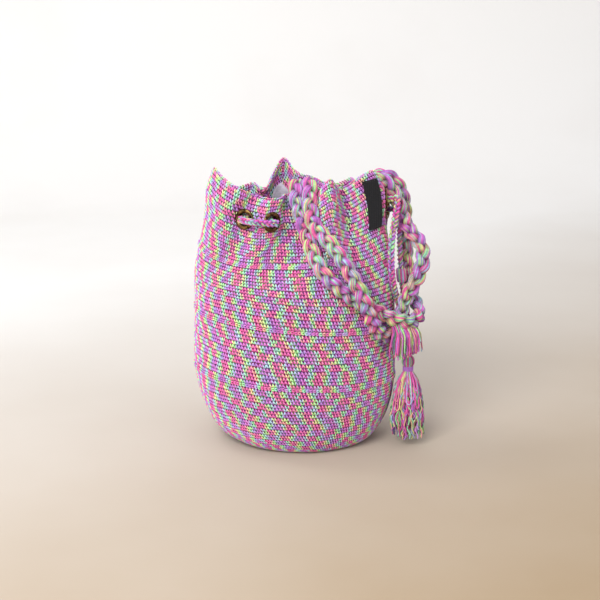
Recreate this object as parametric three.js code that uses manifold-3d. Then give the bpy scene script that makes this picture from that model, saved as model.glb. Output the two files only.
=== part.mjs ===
// Crocheted bucket bag with a gathered drawstring mouth, a knotted double strap and a tassel.
// Millimetres, +Z up. The front faces -Y and the origin lies under the middle of the belly.
import * as THREE from 'three';
import { mergeVertices } from 'three/addons/utils/BufferGeometryUtils.js';
import Module from 'manifold-3d';

const wasm = await Module();
wasm.setup();

// Bag body
const BASE_WIDTH = 122;
const BASE_DEPTH = 112;
const BASE_SHIFT = 8.5; // the base lies this far to the right of the belly's middle
const BELLY_WIDTH = 202;
const BELLY_DEPTH = 168;
const SHOULDER_WIDTH = 201;
const SHOULDER_DEPTH = 156;
const CORNER_RISE = 80;
const SHOULDER_RISE = 150;
const RIM_RISE = 250;
const WALL = 3.2;
const LEAN = 8; // the left side of each round stands higher by this, the right side lower
const LEAN_RISE = 120; // height where the lean is fully grown
const TWIST = 0.03; // turns between the seam of the base and the seam of the rim
const TURN_STEP = 0.003; // steps over which the cloth's slope is taken
const LEVEL_STEP = 0.02;

// Rim of the gathered mouth, seen from above: x, y and the height over RIM_RISE.
// It starts at the back and runs by way of the left side, the front and the right side.
const RIM = [
  [-9, 44, 25.5], [-16, 42, 24], [-23, 36, 13], [-31, 29, -2], [-43, 36, 2], [-61, 24, 0], [-76, 13, 12],
  [-80, -6, 23], [-67, -30, 14], [-50, -42, 6], [-38, -33, 0], [-24, -47, -1], [-12, -44, -1],
  [-6, -26, 0], [19, -26, 2], [26, -45, 12], [35, -49, 18], [45, -22, 6], [58, -46, 17],
  [78, -32, 24], [80, -8, 3], [86, 12, 4], [68, 20, 0], [58, 40, 6], [38, 28, 2],
  [20, 45, 6], [4, 36, 12],
];

// The eyelet line runs below the rim, where the folds have opened a little.
const LIP = 21;
const LINE_FLARE_X = 1.08;
const LINE_FLARE_Y = 1.1;
const LINE_WIDTH = 180;
const LINE_DEPTH = 104;
const FOLD_SHARE = 0.72; // how much of the rim's folding is left at the eyelet line

// Crochet: raised courses on the outside, each standing for several rounds of stitches
const RIDGE = 0.7;
const RIDGE_START = 0.4; // level on the corner where the courses have their full height
const COURSES = { corner: 4, wall: 4, shoulder: 6, lip: 1 };
const COLUMNS = 2 * RIM.length;
const RIM_DIVISIONS = 20 * COLUMNS; // samples of the rim's length

// Cotton lining, hemmed below the eyelets, and higher up in the tall fold at the back
const LINING = 1;
const LINING_GAP = 0.5;
const LINING_DROP = 12.9;
const TALL_FOLD_TURN = 0.993; // middle of that fold
const TALL_FOLD_HALF = 0.033;
const TALL_FOLD_FADE = 0.012; // turns over which the hem comes down beside it
const TALL_FOLD_HEM = 10; // how much higher the hem is there

// Eyelets stand in pairs on the eyelet line, and the cord shows only between the two of a pair.
const PAIR_TURNS = [0.0895, 0.3585, 0.726, 0.86];
const PAIR_SPACING = 0.055;
const EYELET_SIDES = 10;
const FLANGE_RADIUS = 10;
const FLANGE_THICKNESS = 1.6;
const BARREL_BORE = 12;
const BARREL_WALL = 0.9;
const ROLL = 0.9; // how far the rolled end of the barrel reaches over the washer
const ROLL_THICKNESS = 0.7;
const WASHER_RADIUS = 9;
const WASHER_THICKNESS = 0.9;
const PRESS_MARGIN = 1; // cloth pressed flat beyond the flange
const PRESS_FADE = 9; // width over which the pressed cloth returns to its folds
const SEAT_DEPTH = 1.5; // free height over an eyelet's faces where the cloth curls round it

// Cords
const CORD_DIAMETER = 5.5;
const STRAP_DIAMETER = 13;
const CORD_SIDES = 8;
const STRAP_SIDES = 8;
const CORD_STEP = 9; // tube step along the drawstring, which bends at every eyelet
const TAIL_STEP = 12; // tube step along its free ends
const STRAP_STEP = 13; // tube step along the strap
const CORD_IN = 7.4; // straight run of the drawstring on the inner side of an eyelet
const CORD_OUT = 9; // straight run on its outer side

// Runs of the drawstring between the eyelets it passes, in threading order
const RUN_FRONT = [
  [66, -22, 241], [50, -17, 238], [32, -11.5, 236], [15, -8.5, 234], [1, -7, 233], [-12, -15, 232],
];
const RUN_FRONT_PAIR = [[-38, -58, 229.5]];
const RUN_LEFT = [[-48, -17, 232], [-53, 4, 232]];
const RUN_BACK_LEFT_PAIR = [[-50, 49, 230]];
const RUN_BACK = [[-14, 25, 234], [4, 24, 236], [22, 24, 234]];
const RUN_BACK_RIGHT_PAIR = [[60, 53, 232.5]];
const RUN_RIGHT = [[63, 23, 231], [73, 12, 231.5]];

// Free ends of the drawstring, from the right pair of eyelets to the head of the tassel
const TAIL_FRONT = [
  [98.6, -26, 240], [96.6, -31, 230], [93.8, -36, 214], [92.8, -38, 195], [93.6, -37, 176],
  [96.4, -31.6, 160], [100.4, -24, 147], [104.4, -21.8, 135], [107.4, -24, 120], [108.6, -26.8, 107],
  [108.8, -28, 99], [108.8, -28, 92.1],
];
const TAIL_REAR = [
  [102.6, 2, 228], [102.6, -4.6, 218], [102.4, -12, 206], [102.8, -16.8, 190], [104, -18.6, 174],
  [105.6, -18, 158], [107.6, -16.4, 147], [109.8, -17, 135], [113, -20, 120], [114.9, -25.6, 107],
  [115.2, -28, 99], [115.2, -28, 92.1],
];

// The strap: two braids that hang from the rim at the front and at the right, knotted at the hip
const STRAP_WRAP = [
  [0.5, -24.6, 220], [1, -20.6, 231], [1.2, -16.6, 241], [1.3, -13, 250.5], [1.3, -15.8, 257.5],
  [1.2, -22.8, 260.4], [1, -29.8, 257.5], [1.2, -33, 250.5], [3.6, -37.7, 239.5], [7, -42.4, 228.7],
  [10.8, -49.4, 218], [14.6, -60.2, 208.4], [18.8, -69, 198], [26.4, -76.2, 185.6], [37.8, -77.2, 173.6],
  [51.4, -73.6, 162.4], [64.8, -68.8, 152.6], [78, -63, 145], [90, -60, 138], [101, -56, 133.6],
  [111.5, -50, 131.2], [119, -41, 132], [122, -30.5, 135], [120.5, -20, 139.5], [117, -10.5, 147],
  [113, -5, 158], [110.8, -1, 174], [110, 3, 191], [109.6, 7, 208], [109, 11, 226],
  [107, 14, 241], [102.6, 15.4, 252], [95, 15, 260.5], [86, 13, 263.4], [78, 10, 260], [72, 7, 251],
  [69.5, 5, 240],
];
const STRAP_LOOP = [
  [16, -27, 221], [15.6, -22.6, 232], [15.3, -18, 242], [15, -13.4, 252], [15, -16.6, 259.2],
  [14.8, -24, 262.2], [14.6, -31.4, 259.6], [14.4, -36.8, 252], [15.2, -48, 238.5], [18, -55.2, 227.6],
  [25.2, -64, 219.4], [34.4, -70, 210], [43.4, -74.8, 198.4], [51.8, -79, 185.6], [59.6, -82.4, 172.2],
  [66.2, -83, 158], [72, -77.4, 141], [78.8, -67.4, 127], [87, -57.6, 119.6], [95.4, -47.4, 116.8],
  [101.4, -38, 120.8], [104, -32.2, 131], [105.8, -31.6, 142], [109, -35, 153], [114, -39.6, 164],
  [119.4, -41.8, 176], [123, -40, 189], [122, -34.6, 201], [117, -27.4, 209.4], [110.6, -20.6, 216],
  [106, -15, 224], [103, -11.2, 233], [98.6, -8.2, 244.4], [91.4, -7, 256], [83.4, -6.6, 262.6],
  [75.4, -7.8, 261], [69.4, -9.6, 252.6], [67.6, -11, 241],
];

// Yarn ends of the strap's tied-off braid, hanging under its wrap
const FRINGE_FROM = [96, -66];
const FRINGE_TO = [120.5, -43.5];
const FRINGE_TOP = 124.2;
const FRINGE_BOTTOM = 98;
const FRINGE_THICKNESS = 10;
const FRINGE_FLARE = 1.2;
const FRINGE_BUNDLES = 8;
const FRINGE_BULGE = 0.15; // share by which a bundle stands out and its edges fall back

// Tassel, turned about its own axis
const TASSEL_X = 112;
const TASSEL_Y = -28;
const TASSEL_TOP = 91.5;
const TASSEL_BOTTOM = 8;
const TASSEL_HEAD_RADIUS = 6.6;
const TASSEL_HEAD_HEIGHT = 12.5;
const TASSEL_HEAD = [[1, 0.7], [1, 0.25], [0.9, 0]]; // shares of its radius and height, from below
const TASSEL_NECK_RADIUS = 4;
const TASSEL_NECK_HEIGHT = 4;
const TASSEL_SKIRT_RADIUS = 16;
const TASSEL_SKIRT = [[0.96, 1], [1.03, 0.75], [0.97, 0.42], [0.7, 0.13]]; // shares of its radius and drop
const TASSEL_BUNDLES = 8;
const TASSEL_GROOVE = 0.86; // share of the radius left between two bundles
const BINDING_THICKNESS = 1.5;
const BINDING_ROUNDING = 0.25; // share of its height that is rounded off at each end

// Whipping round the rear tail
const WHIPPING_LENGTH = 13;
const WHIPPING_THICKNESS = 1.4;
const WHIPPING_LOOSENESS = 0.6; // room for the cord's curve inside the whipping
const WHIPPING_FROM = 0.42; // share of the tail's length above it

// Sewn label, left bare
const LABEL_WIDTH = 17.5;
const LABEL_LENGTH = 46;
const LABEL_THICKNESS = 0.8;
const LABEL_TURN = 0.6515; // where the label's middle line starts on the rim
const LABEL_DROP = 4.5; // cloth between the rim and the label
const LABEL_TILT = 4; // how much lower its right edge is sewn than its left one
const LABEL_SKEW = -0.05; // sideways drift of the label along its length
const LABEL_STANDOFF = 1.3; // the label bridges the courses under it

const CLEARANCE = 0.3;

// Finishes
function finish(color, roughness, metalness = 0) {
  return new THREE.MeshStandardMaterial({ color, roughness, metalness });
}
const crochetYarn = finish('#c978b4', 0.95);
const braidYarn = finish('#c58fc4', 0.95);
const fringeYarn = finish('#c06aa8', 0.95);
const bindingYarn = finish('#b9a4cf', 0.95);
const liningCloth = finish('#b9b4cc', 0.9);
const labelTape = finish('#15161b', 0.85);
const agedBrass = finish('#6b5a36', 0.4, 1);

function mix(a, b, share) {
  return a + (b - a) * share;
}

function ease(x) {
  const t = THREE.MathUtils.clamp(x, 0, 1);
  return t * t * (3 - 2 * t);
}

const rimCurve = new THREE.CatmullRomCurve3(
  RIM.map(([x, y, rise]) => new THREE.Vector3(x, y, RIM_RISE + rise)), true, 'catmullrom', 0.5,
);
rimCurve.arcLengthDivisions = RIM_DIVISIONS;

function ellipse(turn, width, depth) {
  const angle = Math.PI / 2 + 2 * Math.PI * (turn + TWIST);
  return new THREE.Vector2((width / 2) * Math.cos(angle), (depth / 2) * Math.sin(angle));
}

function eyeletLine(turn) {
  const rim = rimCurve.getPointAt(turn);
  const open = ellipse(turn, LINE_WIDTH, LINE_DEPTH);
  const x = mix(open.x, rim.x * LINE_FLARE_X, FOLD_SHARE);
  const y = mix(open.y, rim.y * LINE_FLARE_Y, FOLD_SHARE);
  return new THREE.Vector3(x, y, rim.z - LIP);
}

// Point on the outside of the cloth. Turn runs once round the bag as the rim does. Level is -1 at
// the middle of the base, 0 at its edge, 1 at the belly, 2 at the shoulder, 3 at the eyelets, 4 at the rim.
function loosePoint(turn, level) {
  const round = THREE.MathUtils.euclideanModulo(turn, 1);
  if (level <= 2) {
    const corner = (Math.PI / 2) * THREE.MathUtils.clamp(level, 0, 1);
    const toShoulder = ease(level - 1);
    const width = mix(mix(BASE_WIDTH, BELLY_WIDTH, Math.sin(corner)), SHOULDER_WIDTH, toShoulder);
    const depth = mix(mix(BASE_DEPTH, BELLY_DEPTH, Math.sin(corner)), SHOULDER_DEPTH, toShoulder);
    const plan = ellipse(round, width, depth).multiplyScalar(Math.min(1, 1 + level));
    plan.x += BASE_SHIFT * (1 - Math.sin(corner));
    const up = CORNER_RISE * (1 - Math.cos(corner));
    const height = up + (SHOULDER_RISE - CORNER_RISE) * THREE.MathUtils.clamp(level - 1, 0, 1);
    const tilt = LEAN * ellipse(round, 2, 2).x * ease(height / LEAN_RISE);
    return new THREE.Vector3(plan.x, plan.y, height - tilt);
  }
  const line = eyeletLine(round);
  if (level <= 3) {
    const shoulder = loosePoint(round, 2);
    const gathered = ease(level - 2);
    const x = mix(shoulder.x, line.x, gathered);
    const y = mix(shoulder.y, line.y, gathered);
    return new THREE.Vector3(x, y, mix(shoulder.z, line.z, level - 2));
  }
  return line.lerp(rimCurve.getPointAt(round), level - 3);
}

function normalOf(surface, turn, level) {
  const above = Math.min(4, level + LEVEL_STEP);
  const below = Math.max(0, level - LEVEL_STEP);
  const alongTurn = surface(turn + TURN_STEP, level).sub(surface(turn - TURN_STEP, level));
  const alongLevel = surface(turn, above).sub(surface(turn, below));
  return alongTurn.cross(alongLevel).normalize();
}

// Each eyelet's middle on the outside of the cloth, and the way out through it
const eyelets = PAIR_TURNS.flatMap((middle) => [middle - PAIR_SPACING / 2, middle + PAIR_SPACING / 2])
  .map((turn) => ({ middle: loosePoint(turn, 3), out: normalOf(loosePoint, turn, 3) }));

// The same cloth, pressed flat under the eyelets
function clothPoint(turn, level) {
  const point = loosePoint(turn, level);
  for (const { middle, out } of eyelets) {
    const reach = point.clone().sub(middle);
    const flat = 1 - ease((reach.length() - FLANGE_RADIUS - PRESS_MARGIN) / PRESS_FADE);
    point.addScaledVector(out, -reach.dot(out) * flat);
  }
  return point;
}

function insetPoint(turn, level, inset) {
  const out = level < 0 ? new THREE.Vector3(0, 0, -1) : normalOf(clothPoint, turn, level);
  return clothPoint(turn, level).addScaledVector(out, -inset);
}

// Columns fall on the rim's points and half-way between them.
const rimLengths = rimCurve.getLengths(RIM_DIVISIONS);
const columnTurns = Array.from({ length: COLUMNS }, (_, column) => {
  return rimLengths[(column * RIM_DIVISIONS) / COLUMNS] / rimLengths.at(-1);
});

const gatherRise = RIM_RISE - LIP - SHOULDER_RISE;
const hemLevel = 3 - LINING_DROP / gatherRise;
const linedLevels = [-1, 0, 0.4, 0.75, 1, 2, 2.3, 2.6, hemLevel];

// The rows inside the cloth stretch to the height of the hem.
function innerLevel(turn, level) {
  if (level <= 2 || level > hemLevel) return level;
  const away = Math.abs(THREE.MathUtils.euclideanModulo(turn - TALL_FOLD_TURN + 0.5, 1) - 0.5);
  const rise = TALL_FOLD_HEM * (1 - ease((away - TALL_FOLD_HALF) / TALL_FOLD_FADE));
  return level + (rise / gatherRise) * ((level - 2) / (hemLevel - 2));
}

// A closed shell: rows of [level, inset] from the middle of its underside, up, over its edge and back.
// A shell that lies against the inside of another takes its rows the other way round, so that the
// folded faces of the two split along the same diagonals.
function shell(rows, insideFirst = false) {
  const profile = rows.map(([level], row) => new THREE.Vector2(level < 0 ? 0 : 1, row));
  const geometry = new THREE.LatheGeometry(profile, COLUMNS);
  const position = geometry.getAttribute('position');
  for (let column = 0; column <= COLUMNS; column += 1) {
    rows.forEach(([level, inset], row) => {
      const turn = columnTurns[column % COLUMNS];
      const point = insetPoint(turn, inset > 0 ? innerLevel(turn, level) : level, inset);
      position.setXYZ(column * rows.length + row, point.x, point.y, point.z);
    });
  }
  if (insideFirst) geometry.index.array.reverse();
  return geometry;
}

function mergedTriangles(geometry) {
  const bare = new THREE.BufferGeometry();
  bare.setAttribute('position', geometry.getAttribute('position').clone());
  bare.setIndex(geometry.index ? geometry.index.clone() : null);
  const merged = mergeVertices(bare, 1e-4);
  const kept = [];
  for (let i = 0; i < merged.index.count; i += 3) {
    const [a, b, c] = [0, 1, 2].map((corner) => merged.index.getX(i + corner));
    if (a !== b && b !== c && c !== a) kept.push(a, b, c);
  }
  const vertProperties = Float32Array.from(merged.getAttribute('position').array);
  return { vertProperties, triVerts: Uint32Array.from(kept) };
}

function solidOf(geometry) {
  return new wasm.Manifold(new wasm.Mesh({ numProp: 3, ...mergedTriangles(geometry) }));
}

function geometryOf(solid) {
  const { vertProperties, triVerts } = solid.getMesh();
  const geometry = new THREE.BufferGeometry();
  geometry.setAttribute('position', new THREE.BufferAttribute(vertProperties, 3));
  geometry.setIndex(new THREE.BufferAttribute(triVerts, 1));
  return geometry;
}

const upright = new THREE.Vector3(0, 1, 0);

const barrelRadius = BARREL_BORE / 2 + BARREL_WALL;
const backOfWasher = -WALL - CLEARANCE - WASHER_THICKNESS;
const backOfGrommet = backOfWasher - CLEARANCE - ROLL_THICKNESS;
const frontOfGrommet = CLEARANCE + FLANGE_THICKNESS;

function courseRows() {
  const zones = Object.values(COURSES);
  const rows = [];
  zones.forEach((courses, zone) => {
    for (let course = 0; course < courses; course += 1) {
      const crest = zone + (course + 0.5) / courses;
      rows.push([zone + course / courses, 0], [crest, -RIDGE * ease(crest / RIDGE_START)]);
    }
  });
  return rows;
}

// Room for one eyelet: a hole through the cloth and a flat seat on each side of it
function eyeletRoom({ middle, out }) {
  const hole = barrelRadius + CLEARANCE;
  const seat = FLANGE_RADIUS + CLEARANCE;
  const room = new THREE.LatheGeometry([
    [0, backOfGrommet - SEAT_DEPTH], [seat, backOfGrommet - SEAT_DEPTH], [seat, -WALL], [hole, -WALL],
    [hole, 0], [seat, 0], [seat, frontOfGrommet + SEAT_DEPTH], [0, frontOfGrommet + SEAT_DEPTH],
  ].map(([radius, height]) => new THREE.Vector2(radius, height)), EYELET_SIDES);
  room.applyQuaternion(new THREE.Quaternion().setFromUnitVectors(upright, out));
  room.translate(middle.x, middle.y, middle.z);
  return solidOf(room);
}

function makeBody() {
  const outside = [[-1, 0], ...courseRows(), [4, 0]];
  const inside = [4, 3.4, ...linedLevels.toReversed()].map((level) => [level, WALL]);
  const cloth = solidOf(shell([...outside, ...inside]));
  return geometryOf(eyelets.reduce((solid, eyelet) => solid.subtract(eyeletRoom(eyelet)), cloth));
}

function makeLining() {
  const outer = WALL + LINING_GAP;
  const rows = [
    ...linedLevels.map((level) => [level, outer + LINING]),
    ...linedLevels.toReversed().map((level) => [level, outer]),
  ];
  return shell(rows, true);
}

function ringLathe(outline, sides) {
  const closed = [...outline, outline[0]].map(([radius, height]) => new THREE.Vector2(radius, height));
  return new THREE.LatheGeometry(closed, sides);
}

function makeGrommet() {
  return ringLathe([
    [BARREL_BORE / 2, backOfGrommet],
    [barrelRadius + ROLL, backOfGrommet],
    [barrelRadius + ROLL, backOfGrommet + ROLL_THICKNESS],
    [barrelRadius, backOfGrommet + ROLL_THICKNESS],
    [barrelRadius, CLEARANCE],
    [FLANGE_RADIUS, CLEARANCE],
    [FLANGE_RADIUS - FLANGE_THICKNESS / 2, frontOfGrommet],
    [BARREL_BORE / 2, frontOfGrommet],
  ], EYELET_SIDES);
}

function makeWasher() {
  const bore = barrelRadius + CLEARANCE;
  return ringLathe([
    [bore, backOfWasher],
    [WASHER_RADIUS, backOfWasher],
    [WASHER_RADIUS, backOfWasher + WASHER_THICKNESS],
    [bore, backOfWasher + WASHER_THICKNESS],
  ], EYELET_SIDES);
}

function curveThrough(points) {
  const vectors = points.map((point) => (point.isVector3 ? point : new THREE.Vector3(...point)));
  return new THREE.CatmullRomCurve3(vectors, false, 'catmullrom', 0.5);
}

function makeTube(curve, diameter, sides, step) {
  const outline = Array.from({ length: sides }, (_, side) => {
    const angle = (2 * Math.PI * side) / sides;
    return new THREE.Vector2(Math.cos(angle), Math.sin(angle)).multiplyScalar(diameter / 2);
  });
  const steps = Math.ceil(curve.getLength() / step);
  return new THREE.ExtrudeGeometry(new THREE.Shape(outline), { steps, extrudePath: curve, curveSegments: 1 });
}

// Points of the cord through one eyelet, from the inside to the outside
function threaded(number) {
  const { middle, out } = eyelets[number];
  return [-CORD_IN, -WALL / 2, CORD_OUT].map((reach) => middle.clone().addScaledVector(out, reach));
}

function unthreaded(number) {
  return threaded(number).toReversed();
}

const drawstringCurve = curveThrough([
  ...unthreaded(4), ...RUN_FRONT, ...threaded(3), ...RUN_FRONT_PAIR, ...unthreaded(2), ...RUN_LEFT,
  ...threaded(1), ...RUN_BACK_LEFT_PAIR, ...unthreaded(0), ...RUN_BACK, ...threaded(7),
  ...RUN_BACK_RIGHT_PAIR, ...unthreaded(6), ...RUN_RIGHT, ...threaded(5),
]);

// A tail starts just off the drawstring's end and carries on from it.
function tailCurve(number, points) {
  const { out } = eyelets[number];
  const end = threaded(number).at(-1);
  const start = end.clone().addScaledVector(out, CLEARANCE);
  const bend = end.clone().addScaledVector(out, CORD_DIAMETER / 2);
  return curveThrough([start, bend, ...points]);
}

const frontTailCurve = tailCurve(4, TAIL_FRONT);
const rearTailCurve = tailCurve(5, TAIL_REAR);
const wrapCurve = curveThrough(STRAP_WRAP);
const loopCurve = curveThrough(STRAP_LOOP);

function makeWhipping() {
  const inner = CORD_DIAMETER / 2 + WHIPPING_LOOSENESS;
  const half = WHIPPING_LENGTH / 2;
  const outer = inner + WHIPPING_THICKNESS;
  return ringLathe([[inner, -half], [outer, -half + WHIPPING_THICKNESS], [outer, half - WHIPPING_THICKNESS],
    [inner, half]], STRAP_SIDES);
}

const neckTop = -TASSEL_HEAD_HEIGHT;
const neckBottom = neckTop - TASSEL_NECK_HEIGHT;
const skirtHeight = TASSEL_TOP - TASSEL_BOTTOM - TASSEL_HEAD_HEIGHT - TASSEL_NECK_HEIGHT;

// Measured down from the top of the head, which is at height 0
function makeTassel() {
  const profile = [
    [0, neckBottom - skirtHeight],
    ...TASSEL_SKIRT.map(([wide, down]) => [TASSEL_SKIRT_RADIUS * wide, neckBottom - skirtHeight * down]),
    [TASSEL_NECK_RADIUS, neckBottom],
    [TASSEL_NECK_RADIUS, neckTop],
    ...TASSEL_HEAD.map(([wide, down]) => [TASSEL_HEAD_RADIUS * wide, -TASSEL_HEAD_HEIGHT * down]),
    [0, 0],
  ].map(([radius, height]) => new THREE.Vector2(radius, height));
  const columns = 2 * TASSEL_BUNDLES;
  const tassel = new THREE.LatheGeometry(profile, columns);
  const position = tassel.getAttribute('position');
  for (let column = 1; column < columns; column += 2) {
    for (let row = 0; row <= TASSEL_SKIRT.length; row += 1) {
      const i = column * profile.length + row;
      position.setX(i, position.getX(i) * TASSEL_GROOVE);
      position.setZ(i, position.getZ(i) * TASSEL_GROOVE);
    }
  }
  return tassel;
}

function makeTasselBinding() {
  const inner = TASSEL_NECK_RADIUS + CLEARANCE;
  const outer = inner + BINDING_THICKNESS;
  const top = neckTop - CLEARANCE;
  const bottom = neckBottom + CLEARANCE;
  return ringLathe([[inner, bottom], [outer, mix(bottom, top, BINDING_ROUNDING)],
    [outer, mix(top, bottom, BINDING_ROUNDING)], [inner, top]], 2 * TASSEL_BUNDLES);
}

// The fringe is a row of yarn bundles, wider at the hem than under the strap.
function makeFringe() {
  const length = Math.hypot(FRINGE_TO[0] - FRINGE_FROM[0], FRINGE_TO[1] - FRINGE_FROM[1]);
  const pitch = length / FRINGE_BUNDLES;
  const crest = (FRINGE_THICKNESS / 2) * (1 + FRINGE_BULGE);
  const groove = (FRINGE_THICKNESS / 2) * (1 - FRINGE_BULGE);
  const outline = new THREE.Shape();
  outline.moveTo(-length / 2, -groove);
  for (let edge = 0; edge < FRINGE_BUNDLES; edge += 1) {
    const start = edge * pitch - length / 2;
    outline.lineTo(start + pitch / 2, -crest);
    outline.lineTo(start + pitch, -groove);
  }
  for (let edge = FRINGE_BUNDLES; edge > 0; edge -= 1) {
    const start = edge * pitch - length / 2;
    outline.lineTo(start, groove);
    outline.lineTo(start - pitch / 2, crest);
  }
  outline.lineTo(-length / 2, groove);
  const height = FRINGE_TOP - FRINGE_BOTTOM;
  const fringe = new THREE.ExtrudeGeometry(outline, { depth: height, steps: 4, bevelEnabled: false });
  const position = fringe.getAttribute('position');
  for (let i = 0; i < position.count; i += 1) {
    const flare = mix(FRINGE_FLARE, 1, ease(position.getZ(i) / height));
    position.setXYZ(i, position.getX(i) * flare, position.getY(i) * flare, position.getZ(i));
  }
  return fringe;
}

// The label follows the cloth below the rim: a thin plate bent over a grid of cloth points.
function makeLabel() {
  const across = 3;
  const down = 6;
  const rimLength = rimCurve.getLength();
  const plate = new THREE.BoxGeometry(1, 1, 1, across, down, 1);
  const position = plate.getAttribute('position');
  for (let i = 0; i < position.count; i += 1) {
    const along = 0.5 - position.getY(i);
    const side = position.getX(i);
    const turn = LABEL_TURN + (side * LABEL_WIDTH + along * LABEL_LENGTH * LABEL_SKEW) / rimLength;
    const drop = LABEL_DROP + along * LABEL_LENGTH + side * LABEL_TILT;
    const zone = loosePoint(turn, 3).z - loosePoint(turn, 2).z;
    const level = drop < LIP ? 4 - drop / LIP : 3 - (drop - LIP) / zone;
    const lift = LABEL_STANDOFF + (position.getZ(i) + 0.5) * LABEL_THICKNESS;
    const point = insetPoint(turn, level, -lift);
    position.setXYZ(i, point.x, point.y, point.z);
  }
  return plate;
}

const bag = new THREE.Group();

function place(name, geometry, material, parent = bag) {
  const mesh = new THREE.Mesh(geometry, material);
  mesh.name = name;
  parent.add(mesh);
  return mesh;
}

place('bag_body', makeBody(), crochetYarn);
place('lining', makeLining(), liningCloth);
place('label', makeLabel(), labelTape);

eyelets.forEach(({ middle, out }, index) => {
  const eyelet = new THREE.Group();
  eyelet.position.copy(middle);
  eyelet.quaternion.setFromUnitVectors(upright, out);
  place(`grommet_${index + 1}`, makeGrommet(), agedBrass, eyelet);
  place(`washer_${index + 1}`, makeWasher(), agedBrass, eyelet);
  bag.add(eyelet);
});

place('drawstring', makeTube(drawstringCurve, CORD_DIAMETER, CORD_SIDES, CORD_STEP), braidYarn);
place('drawstring_tail_front', makeTube(frontTailCurve, CORD_DIAMETER, CORD_SIDES, TAIL_STEP), braidYarn);
place('drawstring_tail_rear', makeTube(rearTailCurve, CORD_DIAMETER, CORD_SIDES, TAIL_STEP), braidYarn);
place('strap_wrap', makeTube(wrapCurve, STRAP_DIAMETER, STRAP_SIDES, STRAP_STEP), braidYarn);
place('strap_loop', makeTube(loopCurve, STRAP_DIAMETER, STRAP_SIDES, STRAP_STEP), braidYarn);

const whipping = place('tail_whipping', makeWhipping(), bindingYarn);
whipping.position.copy(rearTailCurve.getPointAt(WHIPPING_FROM));
whipping.quaternion.setFromUnitVectors(upright, rearTailCurve.getTangentAt(WHIPPING_FROM));

const fringe = place('strap_fringe', makeFringe(), fringeYarn);
fringe.position.set((FRINGE_FROM[0] + FRINGE_TO[0]) / 2, (FRINGE_FROM[1] + FRINGE_TO[1]) / 2, FRINGE_BOTTOM);
fringe.rotation.z = Math.atan2(FRINGE_TO[1] - FRINGE_FROM[1], FRINGE_TO[0] - FRINGE_FROM[0]);

const hanging = new THREE.Group();
hanging.position.set(TASSEL_X, TASSEL_Y, TASSEL_TOP);
hanging.rotation.x = Math.PI / 2;
place('tassel', makeTassel(), fringeYarn, hanging);
place('tassel_binding', makeTasselBinding(), bindingYarn, hanging);
bag.add(hanging);

export default bag;
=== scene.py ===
import math

import bpy
import numpy as np
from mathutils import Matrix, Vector


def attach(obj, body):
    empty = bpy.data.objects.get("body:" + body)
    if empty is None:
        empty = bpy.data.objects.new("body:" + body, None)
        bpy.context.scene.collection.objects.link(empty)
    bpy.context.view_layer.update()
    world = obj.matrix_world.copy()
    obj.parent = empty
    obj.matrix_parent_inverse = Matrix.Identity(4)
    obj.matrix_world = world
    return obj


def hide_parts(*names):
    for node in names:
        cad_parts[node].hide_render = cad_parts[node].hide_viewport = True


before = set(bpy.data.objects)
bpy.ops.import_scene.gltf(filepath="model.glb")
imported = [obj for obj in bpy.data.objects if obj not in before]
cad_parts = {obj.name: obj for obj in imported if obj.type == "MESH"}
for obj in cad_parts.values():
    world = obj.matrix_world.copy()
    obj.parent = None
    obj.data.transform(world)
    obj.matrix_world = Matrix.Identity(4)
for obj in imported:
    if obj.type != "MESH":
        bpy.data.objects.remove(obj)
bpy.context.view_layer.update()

scene = bpy.context.scene
print("frame loaded")

photoCamera = {
    "aim": (0.005, 0.0, 0.140),  # the middle of the picture
    "elevation": 14.0,
    "distance": 1.30,
    "lens": 78.0,
}


def placeCamera():
    lift = math.radians(photoCamera["elevation"])
    data = bpy.data.cameras.new("photo_camera")
    data.lens = photoCamera["lens"]
    data.sensor_width = 36.0
    eye = bpy.data.objects.new("photo_camera", data)
    back = Vector((0.0, -math.cos(lift), math.sin(lift)))
    eye.location = Vector(photoCamera["aim"]) + back * photoCamera["distance"]
    eye.rotation_euler = (math.pi / 2 - lift, 0.0, 0.0)
    scene.collection.objects.link(eye)
    scene.camera = eye


placeCamera()
scene.view_settings.view_transform = "Standard"
print("camera placed")


# Small helpers for numbers, nodes and meshes

def easeIn(share):
    share = np.clip(share, 0.0, 1.0)
    return share * share * (3.0 - 2.0 * share)


def blendOf(low, high, share):
    return low + (high - low) * share


def unit(rows):
    return rows / np.maximum(np.linalg.norm(rows, axis=-1, keepdims=True), 1e-12)


def linearColour(red, green, blue):
    parts = np.array([red, green, blue]) / 255.0
    parts = np.where(parts <= 0.04045, parts / 12.92, ((parts + 0.055) / 1.055) ** 2.4)
    return (float(parts[0]), float(parts[1]), float(parts[2]), 1.0)


def wire(tree, giver, output, taker, entry):
    tree.links.new(giver.outputs[output], taker.inputs[entry])


def addNode(tree, kind, entries=None, **settings):
    node = tree.nodes.new(kind)
    for name, value in settings.items():
        setattr(node, name, value)
    for entry, value in (entries or {}).items():
        node.inputs[entry].default_value = value
    return node


def newPiece(name, points, edges, faces):
    mesh = bpy.data.meshes.new(name)
    mesh.from_pydata(np.asarray(points).tolist(), edges, faces)
    mesh.update()
    piece = bpy.data.objects.new(name, mesh)
    scene.collection.objects.link(piece)
    return piece


def storeFloats(piece, name, values):
    layer = piece.data.attributes.new(name, "FLOAT", "POINT")
    layer.data.foreach_set("value", np.asarray(values, np.float32))


def storeVectors(piece, name, values):
    layer = piece.data.attributes.new(name, "FLOAT_VECTOR", "POINT")
    layer.data.foreach_set("vector", np.asarray(values, np.float32).ravel())


def storeUv(piece, values):
    layer = piece.data.uv_layers.new(name="UVMap")
    corners = np.empty(len(piece.data.loops), np.int32)
    piece.data.loops.foreach_get("vertex_index", corners)
    layer.data.foreach_set("uv", np.asarray(values, np.float32)[corners].ravel())


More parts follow.
